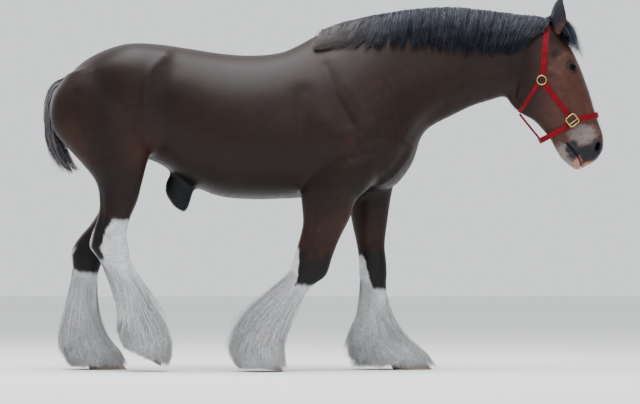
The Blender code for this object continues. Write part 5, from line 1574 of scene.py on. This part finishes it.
def makeStage():
    data = bpy.data.cameras.new("camera")
    data.lens, data.sensor_width = 153.6, 36.0
    data.clip_end = 300
    camera = linked("camera", data)
    camera.location = (-0.01923, -15.0, 0.508)
    camera.rotation_euler = (math.radians(91.59), 0, 0)
    bpy.context.scene.camera = camera
    mesh = bpy.data.meshes.new("floor")
    mesh.from_pydata([(-60, -60, 0), (60, -60, 0), (60, 60, 0), (-60, 60, 0)], [], [(0, 1, 2, 3)])
    floor = linked("floor", mesh)
    made, tree, shader = newMaterial("pale studio floor", 0.9)
    grain = node(tree, "ShaderNodeValToRGB", links={0: noise(tree, 3.0, 4.0)})
    for stop, tone in zip(grain.color_ramp.elements, ((0.78, 0.78, 0.77), (0.82, 0.82, 0.81))):
        stop.color = (*tone, 1)
    paint(tree, shader, colour=grain.outputs[0])
    mesh.materials.append(made)
    world = bpy.data.worlds.new("studio")
    world.use_nodes = True
    sky = world.node_tree.nodes["Background"]
    sky.inputs[0].default_value, sky.inputs[1].default_value = (0.95, 0.975, 1.0, 1), 1.15
    bpy.context.scene.world = world
    for name, spot, aim, size, power, tone in (
        ("top", (-0.6, -0.8, 6.0), (0, 0, 1.2), 5.0, 700, (0.95, 0.97, 1.0)),
        ("front", (2.5, -7.0, 3.6), (0, 0, 1.0), 4.0, 120, (1.0, 0.97, 0.93)),
        ("rear", (-5.5, 3.5, 3.2), (-0.5, 0, 1.2), 3.0, 120, (1.0, 0.98, 0.96)),
    ):
        lamp = bpy.data.lights.new(name, "AREA")
        lamp.size, lamp.energy, lamp.color = size, power, tone
        thing = linked(name, lamp)
        thing.location = spot
        thing.rotation_euler = (Vector(aim) - Vector(spot)).to_track_quat("-Z", "Y").to_euler()


makeStage()
print("stage made")
shortCoat = coatMaterial()
longHair = hairMaterial("long horse hair, combed", 0.38, 90.0)
featherHair = hairMaterial("white feather hair, washed", 0.5, 60.0)
tuftHair = hairMaterial("short coat hair, groomed", 0.45, 90.0)
horn, wetEye, web, brass = hornMaterial(), eyeMaterial(), webMaterial(), brassMaterial()

skinMesh, skinPoints, skinQuads, skinNormals = makeSkin()
paintMesh(skinMesh, coatColour(skinPoints))
skin = addPiece("skin", skinMesh, shortCoat,
                ["torso", "neck", "head"] + [f"leg_{leg}_{part}" for leg in cadLegNames.values()
                                             for part in ("upper", "lower")])
print("skin made", len(skinPoints), "points")
skinTree = BVHTree.FromObject(skin, bpy.context.evaluated_depsgraph_get())

for number, legName in enumerate(legSections):
    makeHoof(legName, horn)
    makeFeather(number, legName, featherHair)
print("legs made")
makeMane(longHair)
makeForelock(longHair, skinTree)
makeTail(longHair)
makeFur(skinPoints, skinQuads, skinNormals, tuftHair)
print("hair made")
for earSide in (-1, 1):
    makeEar(earSide, shortCoat, longHair)
    makeEye(earSide, wetEye, shortCoat, longHair)
makeHalter(skinTree, web, brass)
print("head and halter made")
